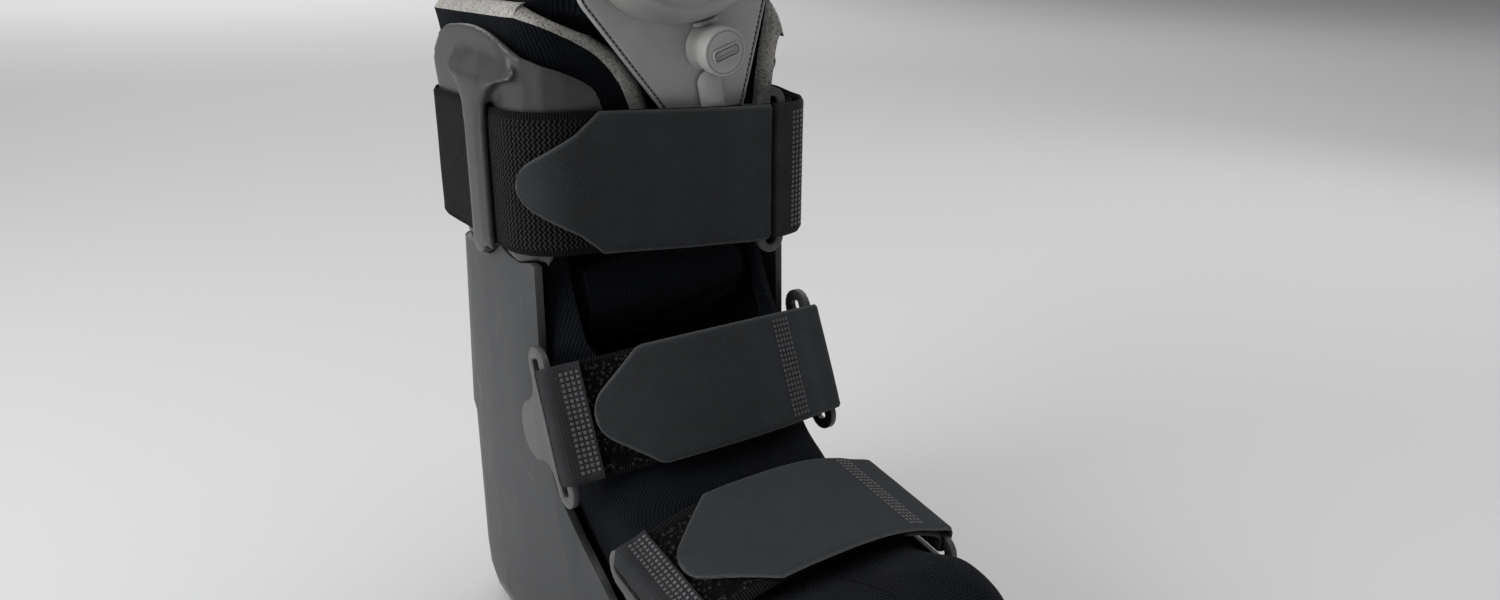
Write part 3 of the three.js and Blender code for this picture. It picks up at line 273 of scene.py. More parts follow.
def loop_strip(name, half, selvage, chevron):
    """Strap with raised loops, in chevron rows or as a speckled pile, between plain edges."""
    paint = Paint(name, 0.92, Specular_IOR_Level=0.1, Sheen_Weight=0.02, Sheen_Roughness=0.45)
    u, v, _ = paint.split(paint.uv())
    fuzz = paint.cloud(paint.where, 1900, 3, 0.65)
    if chevron:
        row = paint.math("PINGPONG", v, 0.0012)
        wave = paint.wave(paint.math("ADD", u, row), 0.0021)
    else:
        wave = paint.fit(paint.cells(paint.uv(), 520), 0.1, 0.8, 1, -1)
    wave = paint.math("ADD", wave, paint.math("MULTIPLY", paint.fit(fuzz, 0.3, 0.7, -1, 1), 0.55))
    edge = paint.math("GREATER_THAN", paint.math("ABSOLUTE", v), half - selvage)
    plain = paint.wave(u, 0.0012)
    height = paint.math("ADD", paint.math("MULTIPLY", wave, paint.math("SUBTRACT", 1.0, edge)),
                        paint.math("MULTIPLY", paint.math("MULTIPLY", plain, edge), 0.5))
    tone = paint.fit(height, 0.1, 1.5)
    paint.colour(paint.blend(tone, (0.001, 0.001, 0.0012), (0.07, 0.071, 0.074)))
    paint.relief(height, 0.0005, 0.8)
    return paint.material


def tab_cloth():
    """The tabs' twill, with a painted highlight along the cut edge."""
    paint = Paint("tab_cloth", 0.85, Specular_IOR_Level=0.25, Sheen_Weight=0.03, Sheen_Roughness=0.4)
    u, v, _ = paint.split(paint.uv())
    twill = paint.wave(paint.math("ADD", u, v), 0.0011)
    cross = paint.wave(v, 0.0008)
    height = paint.math("ADD", twill, paint.math("MULTIPLY", cross, 0.4))
    cloudy = paint.fit(paint.cloud(paint.where, 70, 4, 0.6), 0.35, 0.7)
    base = paint.blend(cloudy, (0.017, 0.019, 0.0205), (0.026, 0.0285, 0.0302))
    base = paint.blend(paint.fit(height, -1, 1.4, 0, 0.5), base, (0.085, 0.09, 0.095))
    # The rim attribute masks the painted highlight along the tab's edges and tip.
    edge = paint.tree.nodes.new("ShaderNodeAttribute")
    edge.attribute_name = "rim"
    paint.colour(paint.blend(edge.outputs["Fac"], base, (0.09, 0.094, 0.098)))
    paint.relief(height, 0.00022, 0.7)
    return paint.material


def smooth_cloth():
    """The loop strips' back, seen where their ends fold over."""
    paint = Paint("folded_end_cloth", 0.8, Specular_IOR_Level=0.25)
    u, v, _ = paint.split(paint.uv())
    cord = paint.wave(v, 0.0009)
    cross = paint.wave(u, 0.0013)
    height = paint.math("ADD", cord, paint.math("MULTIPLY", cross, 0.5))
    shade = paint.fit(paint.cloud(paint.where, 90, 3), 0.35, 0.7)
    base = paint.blend(shade, (0.016, 0.017, 0.018), (0.026, 0.027, 0.0285))
    paint.colour(paint.blend(paint.fit(height, -1, 1.4, 0, 0.3), base, (0.05, 0.052, 0.055)))
    paint.relief(height, 0.0002, 0.6)
    return paint.material


def dark_thread():
    paint = Paint("dark_thread", 0.7)
    tone = paint.fit(paint.cloud(paint.where, 1200, 2), 0.35, 0.65)
    paint.colour(paint.blend(tone, (0.02, 0.02, 0.021), (0.045, 0.045, 0.046)))
    return paint.material


def outsole_rubber():
    paint = Paint("outsole_rubber", 0.82)
    grit = paint.cloud(paint.where, 900, 4)
    paint.colour(paint.blend(paint.fit(grit, 0.3, 0.7), (0.012, 0.012, 0.013), (0.03, 0.03, 0.032)))
    paint.relief(grit, 0.0002)
    return paint.material


def weld_gloss():
    paint = Paint("weld_dot", 0.3)
    tone = paint.fit(paint.cloud(paint.where, 900, 2), 0.35, 0.65)
    paint.colour(paint.blend(tone, (0.07, 0.07, 0.075), (0.12, 0.12, 0.126)))
    return paint.material


def pump_plastic(name, dark, light, rough):
    paint = Paint(name, rough)
    cloudy = paint.cloud(paint.where, 45, 4, 0.6)
    base = paint.blend(paint.fit(cloudy, 0.32, 0.7), dark, light)
    # Painted highlight: sharp edges blended towards a paler grey by their pointiness.
    paint.colour(paint.blend(paint.math("MULTIPLY", paint.edges(), 0.35), base, (0.5, 0.51, 0.49)))
    fine = paint.cloud(paint.where, 1500, 2)
    paint.rough(paint.fit(cloudy, 0.3, 0.7, rough - 0.05, rough + 0.08))
    paint.relief(fine, 0.00006)
    return paint.material


SHELL = moulded_plastic("shell_plastic", (0.029, 0.0305, 0.032), (0.045, 0.047, 0.049), 0.45, 0.5)
PLATE = moulded_plastic("plate_plastic", (0.036, 0.0365, 0.038), (0.052, 0.053, 0.055), 0.36)
RING = moulded_plastic("ring_plastic", (0.042, 0.0435, 0.045), (0.06, 0.062, 0.064), 0.38)
RUBBER = outsole_rubber()
KNIT = knit()
FOAM = foam()
CALF_LOOP = loop_strip("calf_loop_strip", 0.03, 0.003, True)
ANKLE_LOOP = loop_strip("speckled_loop_strip", 0.0252, 0.002, False)
TAB = tab_cloth()
FOLD = smooth_cloth()
THREAD = dark_thread()
PUMP = pump_plastic("pump_plastic", (0.34, 0.347, 0.333), (0.41, 0.417, 0.4), 0.48)
BULB = pump_plastic("bulb_rubber", (0.27, 0.275, 0.264), (0.33, 0.336, 0.323), 0.42)
DOT = weld_gloss()


def only(obj):
    bpy.ops.object.select_all(action="DESELECT")
    obj.select_set(True)
    bpy.context.view_layer.objects.active = obj


def edit(obj):
    only(obj)
    bpy.ops.object.mode_set(mode="EDIT")
    bpy.ops.mesh.select_all(action="SELECT")


def leave():
    bpy.ops.object.mode_set(mode="OBJECT")


def modifier(obj, kind, **settings):
    only(obj)
    made = obj.modifiers.new(kind.lower(), kind)
    for key, value in settings.items():
        setattr(made, key, value)
    bpy.ops.object.modifier_apply(modifier=made.name)


def smooth(obj, angle=35):
    only(obj)
    bpy.ops.object.shade_smooth_by_angle(angle=math.radians(angle))


def settle(obj, name, material, slot, body=BOOT, stands_for=()):
    """Names a finished piece, paints it and sets it on its body."""
    obj.name = name
    obj.data.name = name
    if material is not None:
        obj.data.materials.clear()
        obj.data.materials.append(material)
    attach(obj, body)
    if stands_for:
        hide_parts(*stands_for)
    return obj


def from_metres(name, points, faces):
    mesh = bpy.data.meshes.new(name)
    mesh.from_pydata(points, [], faces)
    obj = bpy.data.objects.new(name, mesh)
    bpy.context.scene.collection.objects.link(obj)
    return obj


def from_points(name, points, faces, uv=None):
    """A mesh from points in millimetres of the boot's own frame."""
    obj = from_metres(name, [(x * MM, (y + SET_BACK) * MM, z * MM) for x, y, z in points], faces)
    if uv:
        layer = obj.data.uv_layers.new(name="weave")
        for loop in obj.data.loops:
            layer.data[loop.index].uv = uv[loop.vertex_index]
    return obj


def scaled(obj, scale):
    obj.scale = scale
    bpy.ops.object.transform_apply(location=False, rotation=False, scale=True)


def taken_apart(obj):
    """The points and faces of a small piece that is laid many times; the piece itself goes."""
    shape = [v.co.copy() for v in obj.data.vertices]
    sides = [tuple(p.vertices) for p in obj.data.polygons]
    bpy.data.objects.remove(obj)
    return shape, sides


def even_normals(obj):
    edit(obj)
    bpy.ops.mesh.normals_make_consistent(inside=False)
    leave()


def whole(node):
    """A merged copy of a CAD node's mesh, with its flat triangles joined."""
    source = nodes[node]
    obj = bpy.data.objects.new(node + "_copy", source.data.copy())
    bpy.context.scene.collection.objects.link(obj)
    edit(obj)
    bpy.ops.mesh.remove_doubles(threshold=1e-5)
    bpy.ops.mesh.dissolve_limited(angle_limit=math.radians(0.6))
    leave()
    return obj


def bevel(obj, width, angle):
    modifier(obj, "BEVEL", width=width * MM, segments=2, limit_method="ANGLE",
             angle_limit=math.radians(angle))


def rounded(node, name, material, slot, edge):
    """A CAD node's copy with its moulded edges rounded."""
    obj = whole(node)
    bevel(obj, edge, 38)
    smooth(obj, 34)
    return settle(obj, name, material, slot, BOOT, (node,))


def pick(obj, wanted):
    """Selects the points that a test on their place in millimetres accepts, and enters edit mode."""
    edit(obj)
    bpy.ops.mesh.select_mode(type="VERT")
    bpy.ops.mesh.select_all(action="DESELECT")
    leave()
    for vertex in obj.data.vertices:
        vertex.select = wanted(vertex.co / MM)
    bpy.ops.object.mode_set(mode="EDIT")


POST_BACK = along_foot(0.235) + SET_BACK
POST_REACH = 20
# Heights to smooth between, how far to each side of the post, and how often
PLATE_SOFTENING = [
    (0, 400, 400, 3),
    (SHELL_TOP + 60, SHELL_TOP + 90, POST_REACH, 10),
    (SHELL_TOP - 8, SHELL_TOP + 7, POST_REACH, 12),
]


def fan_plate(side):
    """The fan with its post, whose foot and top flow into the plate."""
    obj = whole("upright_plate_" + side)
    modifier(obj, "REMESH", mode="VOXEL", voxel_size=0.9 * MM)
    for low, high, reach, repeat in PLATE_SOFTENING:
        pick(obj, lambda v: low < v.z < high and abs(v.y - POST_BACK) < reach)
        bpy.ops.mesh.vertices_smooth(factor=0.5, repeat=repeat)
        leave()
    smooth(obj, 50)
    return settle(obj, "fan_plate_" + side, PLATE, "plate", stands_for=("upright_plate_" + side,))


rounded("shell", "shell_moulding", SHELL, "shell", 0.7)
rounded("outsole", "outsole_rubber", RUBBER, "rubber", 0.8)
for side in ("right", "left"):
    fan_plate(side)
    rounded("ankle_ring_" + side, "ankle_loop_ring_" + side, RING, "ring", 0.5)
    rounded("forefoot_ring_" + side, "forefoot_loop_ring_" + side, RING, "ring", 0.5)
rounded("calf_ring", "calf_link", RING, "ring", 0.8)


class Loop:
    """A closed path of straight sides and round corners, measured from the middle of its front."""

    def __init__(self, half, front, back, right, left, rear):
        self.front, self.back, self.left = front, back, left
        straight, quarter = self.straight, self.quarter
        self.pieces = [
            straight(0, front, 0, half - left),
            quarter(half - left, front + left, left, -90),
            straight(half, front + left, 90, back - front - left - rear),
            quarter(half - rear, back - rear, rear, 0),
            straight(half - rear, back, 180, 2 * (half - rear)),
            quarter(-half + rear, back - rear, rear, 90),
            straight(-half, back - rear, 270, back - front - right - rear),
            quarter(-half + right, front + right, right, 180),
            straight(-half + right, front, 0, half - right),
        ]
        self.total = sum(piece[-1] for piece in self.pieces)

    @staticmethod
    def straight(x, y, angle, length):
        return (x, y, 0, math.radians(angle), length)

    @staticmethod
    def quarter(x, y, radius, start):
        return (x, y, radius, math.radians(start), radius * math.pi / 2)

    def point(self, s, offset=0.0):
        """The place at a length along the path, moved out by an offset."""
        rest = s % self.total
        for x, y, radius, angle, length in self.pieces:
            if rest <= length:
                break
            rest -= length
        if radius:
            angle += rest / radius
            return x + (radius + offset) * math.cos(angle), y + (radius + offset) * math.sin(angle)
        way = (math.cos(angle), math.sin(angle))
        return x + way[0] * rest + way[1] * offset, y + way[1] * rest - way[0] * offset


CALF_CORNER, CALF_REAR = 0.27 * CALF_HALF, 0.33 * CALF_HALF
CALF = Loop(CALF_HALF, along_foot(0.348), along_foot(-0.006), CALF_CORNER, CALF_CORNER, CALF_REAR)


def flare(z):
    """How far the calf has opened at a height above its strap."""
    return CALF_FLARE * max(0.0, z - STRAP_TOP) / (WRAP_TOP - STRAP_TOP)


def on_calf(s, z, offset):
    x, y = CALF.point(s, offset + flare(z))
    return x, y, z


BRIM = WRAP_TOP / SHELL_TOP
WAIST = STRAP_TOP / SHELL_TOP
WRAP_ROWS = [
    # front along, height, back along, height, half, then round: front right, back, front left
    (0.359, BRIM, -0.015, BRIM, 1.04, 0.3, 0.36, 0.12),
    (0.345, WAIST, -0.003, WAIST, 0.982, 0.3, 0.36, 0.12),
    (0.345, 1.022, 0.001, 1.022, 0.982, 0.3, 0.36, 0.2),
    (0.352, 0.97, 0.058, 0.98, 0.962, 0.34, 0.38, 0.34),
    (0.385, 0.88, 0.048, 0.86, 0.95, 0.42, 0.38, 0.42),
    (0.43, 0.8, 0.04, 0.74, 0.94, 0.5, 0.36, 0.5),
    (0.474, 0.7, 0.028, 0.55, 0.915, 0.55, 0.35, 0.55),
    (0.506, 0.615, 0.024, 0.3, 0.89, 0.52, 0.4, 0.52),
    (0.551, 0.572, 0.034, 0.15, 0.87, 0.48, 0.34, 0.48),
    (0.577, 0.549, 0.1, 0.0708, 0.86, 0.45, 0.24, 0.45),
    (0.651, 0.527, 0.35, 0.0708, 0.85, 0.45, 0.2, 0.45),
    (0.747, 0.51, 0.62, 0.0708, 0.85, 0.46, 0.2, 0.46),
    (0.833, 0.55, 0.79, 0.0708, 0.84, 0.44, 0.24, 0.44),
    (0.905, 0.54, 0.872, 0.073, 0.76, 0.46, 0.3, 0.46),
    (0.952, 0.45, 0.926, 0.084, 0.6, 0.5, 0.35, 0.5),
    (0.967, 0.34, 0.95, 0.11, 0.45, 0.5, 0.4, 0.5),
]
MOUTH_HALF, MOUTH_BASE, MOUTH_STEP, MOUTH_ROUND = 48, 0.79 * SHELL_TOP, STRAP_BASE + 1, 13
# The mouth's right edge above its step: place across, height
MOUTH_EDGE = [
    (-17.5, MOUTH_STEP - 2), (-17.5, WRAP_TOP - 41), (-21, WRAP_TOP - 31),
    (-25, WRAP_TOP - 24), (-31, WRAP_TOP - 17), (-41, WRAP_TOP - 10.5),
    (-50, WRAP_TOP - 6.5), (-60, WRAP_TOP - 3.5), (-80, WRAP_TOP + 1),
]
SLANT_RIGHT, SLANT_LEFT = 1.45, -1.43  # how the cut edges lean through the padding
LEFT_EDGE = 64.3


def table_at(rows, t):
    """A row between the table's rows, on a smooth line through them."""
    place = clamp(t) * (len(rows) - 1)
    k = min(int(place), len(rows) - 2)
    f = place - k
    before, a, b, after = (rows[min(max(j, 0), len(rows) - 1)] for j in (k - 1, k, k + 1, k + 2))
    out = []
    for p0, p1, p2, p3 in zip(before, a, b, after):
        m1, m2 = 0.42 * (p2 - p0), 0.42 * (p3 - p1)
        out.append(between(f, p1, p2, m1, m2))
    return out


def wrap_point(row, share):
    """The padding's middle at a share of its way round, on one row of the table."""
    f_along, f_height, b_along, b_height, half, right, rear, left = row
    front = Vector((0, along_foot(f_along), f_height * SHELL_TOP))
    back = Vector((0, along_foot(b_along), b_height * SHELL_TOP))
    depth = (back - front).length
    reach = half * CALF_HALF
    loop = Loop(reach, 0, depth, right * reach, left * reach, rear * reach)
    x, y = loop.point(share * loop.total)
    spot = front.lerp(back, y / depth)
    return Vector((x, spot.y, spot.z)), loop.total


def mouth_right(z):
    """The mouth's right edge on the calf's front, at a height."""
    for (x0, z0), (x1, z1) in zip(MOUTH_EDGE, MOUTH_EDGE[1:]):
        if z <= z1:
            return mix(x0, x1, max(0.0, (z - z0) / (z1 - z0)))
    return MOUTH_EDGE[-1][0]


def in_mouth(p):
    """Whether a place is cut away by the opening over the shin and instep."""
    ahead = p.y - CALF.front
    if p.z < MOUTH_STEP:
        side, rise = abs(p.x) - MOUTH_HALF + MOUTH_ROUND, MOUTH_BASE + MOUTH_ROUND - p.z
        corner = side > 0 and rise > 0 and math.hypot(side, rise) > MOUTH_ROUND
        return side < MOUTH_ROUND and p.z > MOUTH_BASE and ahead < 2.2 * WRAP_WALL and not corner
    right = mouth_right(p.z) + (SLANT_RIGHT * ahead if p.x < 0 else 0)
    return right < p.x < LEFT_EDGE + SLANT_LEFT * ahead and ahead < 1.35 * WRAP_WALL


def way_through(p):
    """The way the mouth's edge is cut through the padding."""
    if p.z < MOUTH_STEP - 1:
        return Vector((0, 1, 0))
    return Vector((SLANT_RIGHT if p.x < 0 else SLANT_LEFT, 1, 0))


def wrap_grid(rows, ring):
    points, uv = [], []
    run = 0.0
    last = None
    for j in range(rows + 1):
        row = table_at(WRAP_ROWS, j / rows)
        middle = Vector((0, along_foot(row[0]), row[1] * SHELL_TOP))
        run += (middle - last).length if last else 0
        last = middle
        for k in range(ring):
            share = (k + 0.5) / ring
            p, total = wrap_point(row, share)
            points.append(p)
            uv.append(((share - 0.5) * total * MM, run * MM))
    return points, uv


def mouth_border(points, cut, ring):
    """For each cut point beside the padding, the place on the mouth's edge that it moves to."""
    rim = {}
    for i, gone in enumerate(cut):
        if not gone:
            continue
        j, k = divmod(i, ring)
        for dj, dk in ((0, 1), (0, -1), (1, 0), (-1, 0), (1, 1), (1, -1), (-1, 1), (-1, -1)):
            n = (j + dj) * ring + (k + dk) % ring
            if 0 <= n < len(points) and not cut[n]:
                keep, lose = points[n], points[i]
                for _ in range(14):
                    half = (keep + lose) / 2
                    keep, lose = (keep, half) if in_mouth(half) else (half, lose)
                rim[i] = keep
                break
    return rim


def ways_out(points, faces):
    """The way straight out of the padding at each point."""
    skin = from_points("wrap_skin", points, faces)
    out = [-n.vector for n in skin.data.vertex_normals]
    flip = sum(n.dot(p - Vector((0, 100, p.z))) for n, p in zip(out, points)) < 0
    bpy.data.objects.remove(skin)
    return [-n if flip else n for n in out]


def open_sides(points, faces):
    """The grid's outer edges, each with the middle of the face that it belongs to."""
    sides = {}
    for quad in faces:
        middle = sum((points[i] for i in quad), Vector()) / 4
        for a, b in zip(quad, quad[1:] + quad[:1]):
            sides[(a, b)] = None if (b, a) in sides else middle
            if (b, a) in sides:
                sides[(b, a)] = None
    return [(a, b, middle) for (a, b), middle in sides.items() if middle]


def make_wrap():
    rows, ring = 150, 220
    points, uv = wrap_grid(rows, ring)
    cut = [in_mouth(p) for p in points]
    rim = mouth_border(points, cut, ring)
    for i, spot in rim.items():
        points[i] = spot
    faces = []
    for j in range(rows):
        for k in range(ring):
            n = (k + 1) % ring
            quad = (j * ring + k, j * ring + n, (j + 1) * ring + n, (j + 1) * ring + k)
            if not all(cut[i] for i in quad):
                faces.append(quad)
    outer, inner = [], []
    for i, (p, n) in enumerate(zip(points, ways_out(points, faces))):
        soft = noise.noise(p * 0.024) + 0.45 * noise.noise(p * 0.055)
        way = way_through(p) if i in rim else -n
        high = clamp((p.z - STRAP_TOP) / (WRAP_TOP - STRAP_TOP))
        left = ease((p.x - 48) / 10) * ease((95 - p.y) / 30)
        inner.append(p + way * (WRAP_WALL / max(0.4, -way.dot(n))) + Vector((0, 0, 2 * high ** 8)))
        outer.append(p - n * (0.75 + 0.9 * soft) - Vector((0, 0, 2.5 * high ** 6 + 12 * left * high ** 4)))
    borders = open_sides(points, faces)
    away = {}
    for a, b, middle in borders:
        along = points[b] - points[a]
        face = along.cross((inner[a] - outer[a]) + (inner[b] - outer[b]))
        face = face.normalized() * (1 if face.dot(points[a] - middle) > 0 else -1)
        for i in (a, b):
            away[i] = away.get(i, Vector()) + face
    count = len(points)
    shell = list(faces) + [tuple(i + count for i in quad[::-1]) for quad in faces]
    materials = [0] * len(shell)
    places, weave = outer + inner, uv + uv
    steps, swell = 4, 5.6
    layers = {}
    for i, face in away.items():
        layers[i] = [i]
        for k in range(1, steps):
            share = k / steps
            layers[i].append(len(places))
            places.append(outer[i].lerp(inner[i], share) + face.normalized() * (swell * share * (1 - share)))
            weave.append(uv[i])
        layers[i].append(i + count)
    for a, b, _ in borders:
        bare = (points[a].z + points[b].z) / 2 > MOUTH_STEP
        for k in range(steps):
            shell.append((layers[b][k], layers[a][k], layers[a][k + 1], layers[b][k + 1]))
            materials.append(1 if bare else 0)
    obj = from_points("padded_wrap", places, shell, weave)
    obj.data.materials.append(KNIT)
    obj.data.materials.append(FOAM)
    obj.data.polygons.foreach_set("material_index", materials)
    edit(obj)
    bpy.ops.mesh.delete_loose(use_verts=True, use_edges=True, use_faces=False)
    leave()
    even_normals(obj)
    bevel(obj, 0.5, 38)
    smooth(obj, 60)
    settle(obj, "padded_wrap", None, "knit", stands_for=("liner_wrap",))


make_wrap()


FLAP_FORWARD, FLAP_EDGE = 47.5, 18
FLAP_SHELF = MOUTH_STEP - 3.5


def flap_share(s, z):
    """How far the flap comes forwards through the mouth: 0 inside the wrap, 1 out in front."""
    wide = clamp((FLAP_SHELF - z) / 7)
    right = mix(max(-50, mouth_right(z) + FLAP_EDGE), -FLAP_FORWARD, wide)
    t = (s - (FLAP_FORWARD + right) / 2) / ((FLAP_FORWARD - right) / 2)
    return min(1.0, mix(3.2, 14, wide) * bump(t))


FLAP_START, FLAP_END = -148, 96  # round the calf, from the middle of its front


def flap_point(u, v, outer):
    """The tongue's outer or inner skin at shares of its length and height, with its place in the weave."""
    s = mix(FLAP_START, FLAP_END, u)
    jump = clamp((abs(s) - FLAP_FORWARD) / 3.5)
    base = mix(MOUTH_BASE + 4 + 20 * abs((clamp(s, -48, 48) + 8) / 48) ** 3, SHELL_TOP + 22, jump)
    z = mix(base, mix(WRAP_TOP + 10, FLAP_TOP, min(1.0, 1.5 * bump((s - 4) / 95))), v)
    drop = flap_share(s, z)
    fold = drop * bump((z - MOUTH_BASE - 21) / 26)
    front = WRAP_WALL * (-1.52 + 1.02 * drop + 0.9 * fold)
    edge = min(1.0, v * 9, (1 - v) * 14, u * 14, (1 - u) * 14)
    wall = FLAP_WALL * (0.3 + 0.7 * math.sqrt(max(0.0, 1 - (1 - edge) ** 2))) * (1 + 0.8 * fold)
    inside = max(front - wall, 0.6 - CALF.left)
    if not outer:
        return on_calf(s, z, inside), (s * MM, z * MM)
    spot = Vector((s, z, 0.0))
    tuck = (z - 177 - 0.27 * s) / 2.2
    crease = 2.4 * math.exp(-tuck * tuck) * ease((s + 22) / 14)
    crease = crease * ease((47 - s) / 8) * ease((FLAP_SHELF - z) / 8)
    depth = front - (1 - edge) * 0.35 * FLAP_WALL - crease * drop
    depth += 0.9 * edge * (noise.noise(spot * 0.03) + 0.5 * noise.noise(spot * 0.08) - 0.2)
    return on_calf(s, z, max(depth, inside + 0.5)), (s * MM, z * MM)


def make_flap():
    columns, rows = 170, 130
    points, uv, faces = [], [], []
    for outer in (True, False):
        for i in range(columns + 1):
            for j in range(rows + 1):
                p, t = flap_point(i / columns, j / rows, outer)
                points.append(p)
                uv.append(t)
    tall = rows + 1
    inner = (columns + 1) * tall
    for i in range(columns):
        for j in range(rows):
            a, b = i * tall + j, (i + 1) * tall + j
            faces.append((a, b, b + 1, a + 1))
            faces.append((inner + a, inner + a + 1, inner + b + 1, inner + b))
    for i in range(columns):
        for j in (0, rows):
            a, b = i * tall + j, (i + 1) * tall + j
            quad = (a, inner + a, inner + b, b)
            faces.append(quad if j == 0 else quad[::-1])
    for j in range(rows):
        for i in (0, columns):
            a = i * tall + j
            quad = (a, a + 1, inner + a + 1, inner + a)
            faces.append(quad if i == 0 else quad[::-1])
    obj = from_points("front_tongue", points, faces, uv)
    even_normals(obj)
    bevel(obj, 0.9, 60)
    smooth(obj, 60)
    settle(obj, "front_tongue", KNIT, "knit", stands_for=("front_flap",))


make_flap()


STRAP_STEP = 1.6


class Strap:
    """A strap along a path of (place, low edge, high edge), every place made with to_frame."""

    def __init__(self, path, wall, to_frame):
        self.wall, self.to_frame = wall, to_frame
        rows = [(*p, low, high) for p, low, high in path]
        fine = []
        for k in range(len(rows) - 1):
            span = math.dist(rows[k][:2], rows[k + 1][:2])
            parts = max(1, round(span / STRAP_STEP))
            for i in range(parts):
                fine.append(self.inside(rows, k, i / parts))
        fine.append(rows[-1])
        self.rows = fine
        self.runs = [0.0]
        for a, b in zip(fine, fine[1:]):
            self.runs.append(self.runs[-1] + math.dist(a[:2], b[:2]))

    @staticmethod
    def inside(rows, k, f):
        """A row between row k and the next, on a smooth line through the rows' places."""
        out = []
        for c in range(4):
            p0, p1 = rows[max(k - 1, 0)][c], rows[k][c]
            p2, p3 = rows[k + 1][c], rows[min(k + 2, len(rows) - 1)][c]
            a, b = math.dist(rows[max(k - 1, 0)][:2], rows[k][:2]), math.dist(rows[k][:2], rows[k + 1][:2])
            d = math.dist(rows[k + 1][:2], rows[min(k + 2, len(rows) - 1)][:2])
            m1 = (p2 - p0) * b / max(a + b, 1e-6)
            m2 = (p3 - p1) * b / max(b + d, 1e-6)
            if a < 1e-6:
                m1 = p2 - p1
            if d < 1e-6:
                m2 = p2 - p1
            out.append(between(f, p1, p2, m1, m2))
        return tuple(out)

    def at(self, run):
        """The row, and the way out of the strap, at a length from its start."""
        k = 0
        while k < len(self.runs) - 2 and self.runs[k + 1] < run:
            k += 1
        f = clamp((run - self.runs[k]) / max(self.runs[k + 1] - self.runs[k], 1e-6))
        row = tuple(mix(a, b, f) for a, b in zip(self.rows[k], self.rows[k + 1]))
        a, b = self.rows[max(k - 1, 0)], self.rows[min(k + 2, len(self.rows) - 1)]
        way = Vector((b[0] - a[0], b[1] - a[1])).normalized()
        return row, Vector((way.y, -way.x))

    def spot(self, run, across, height):
        """A place on the strap: across from -1 to 1, height out of its middle layer."""
        row, out = self.at(run)
        x, y = row[0] + out.x * height, row[1] + out.y * height
        return self.to_frame(x, y, mix(row[2], row[3], (across + 1) / 2))

    def turned_at(self):
        """The length at which the strap's folded end turns back round its bar."""
        return min((row[0], run) for row, run in zip(self.rows, self.runs) if run < 60)[1]

    def run_to(self, x):
        """The length at which the strap first reaches a place across."""
        return next(run for row, run in zip(self.rows, self.runs) if row[0] >= x)

    def mesh(self, name, material, slot, node, folded=0.0):
        """The strap's mesh, its edges rounded; up to the length folded it shows its smooth back."""
        grid = 24
        half = self.wall / 2
        points, uv, faces, rim_highlights = [], [], [], []
        around = 2 * grid
        for k, (row, run) in enumerate(zip(self.rows, self.runs)):
            _, out = self.at(run)
            width = row[3] - row[2]
            for i in range(around):
                share = i / grid if i < grid else (around - i) / grid
                across = math.sin((share - 0.5) * math.pi) * 0.35 + (2 * share - 1) * 0.65
                side = 1 if i < grid else -1
                near = clamp((1 - abs(across)) * width / 2 / (1.1 * half))
                bulge = half * math.sqrt(max(0.0, 1 - (1 - near) ** 2)) * side
                if i in (0, grid):
                    bulge = 0.0
                spread = mix(row[2], row[3], (across + 1) / 2)
                spot = Vector((row[0], row[1], spread))
                ripple = 0.16 * noise.noise(spot * 0.045) + 0.05 * noise.noise(spot * 0.2)
                x, y = row[0] + out.x * (bulge + ripple), row[1] + out.y * (bulge + ripple)
                points.append(self.to_frame(x, y, spread))
                uv.append((run * MM, (spread - (row[2] + row[3]) / 2) * MM))
                # Mask for a painted highlight along the strap's edges and tip, stored as the rim attribute.
                rim_highlights.append(1.0 - ease(min((1 - abs(across)) * width / 2, run) / 1.6))
        for k in range(len(self.rows) - 1):
            for i in range(around):
                n = (i + 1) % around
                faces.append((k * around + i, k * around + n, (k + 1) * around + n, (k + 1) * around + i))
        last = (len(self.rows) - 1) * around
        for i in range(grid - 1):
            a, b = i, i + 1
            c, d = (around - i - 1), (around - i) % around
            faces.append((a, d, c, b))
            faces.append((last + a, last + b, last + c, last + d))
        obj = from_points(name, points, faces, uv)
        rim = obj.data.attributes.new("rim", "FLOAT", "POINT")
        rim.data.foreach_set("value", rim_highlights)
        edit(obj)
        bpy.ops.mesh.remove_doubles(threshold=1e-6)
        bpy.ops.mesh.normals_make_consistent(inside=False)
        leave()
        smooth(obj, 70)
        obj.data.materials.append(material)
        if folded:
            obj.data.materials.append(FOLD)
            weave = obj.data.uv_layers["weave"].data
            for polygon in obj.data.polygons:
                place = sum(weave[i].uv.x for i in polygon.loop_indices) / polygon.loop_total
                polygon.material_index = 1 if place < folded * MM else 0
        return settle(obj, name, None, slot, stands_for=(node,))


TIP_RADIUS = 15
TAPER = math.radians(40)


def tab_half(d, full):
    """Half the tab's width at a distance from its rounded, tapering tip."""
    bend = TIP_RADIUS * (1 - math.sin(TAPER))
    if d < bend:
        return math.sqrt(max(0.0, 2 * TIP_RADIUS * d - d * d))
    return min(full, TIP_RADIUS * math.cos(TAPER) + (d - bend) * math.tan(TAPER))


TIP_STEPS = [0.05, 0.3, 0.8, 1.5, 2.4, 3.4, 4.4, 5.4, 7, 9, 12, 15, 18, 21, 24]

CALF_PATH = Loop(CALF_HALF, CALF.front, CALF.back, CALF_CORNER, 0.07 * CALF_HALF, CALF_REAR)
INNER = GAP + PLATE_WALL + GAP + STRAP_WALL / 2 + 0.2
OUTER = INNER + STRAP_WALL + 1.6 * GAP
LINK_SIDE, LINK_WIDTH, LINK_WALL, LINK_BAR = 50.5, 14, 3, 3.7
STRAP_DROP = 6.5
CALF_TIP = -64
LINK_LAYER = INNER + STRAP_WALL / 2 + GAP + LINK_WALL / 2
OVER_LINK = LINK_LAYER + LINK_WALL / 2 + GAP + STRAP_WALL / 2


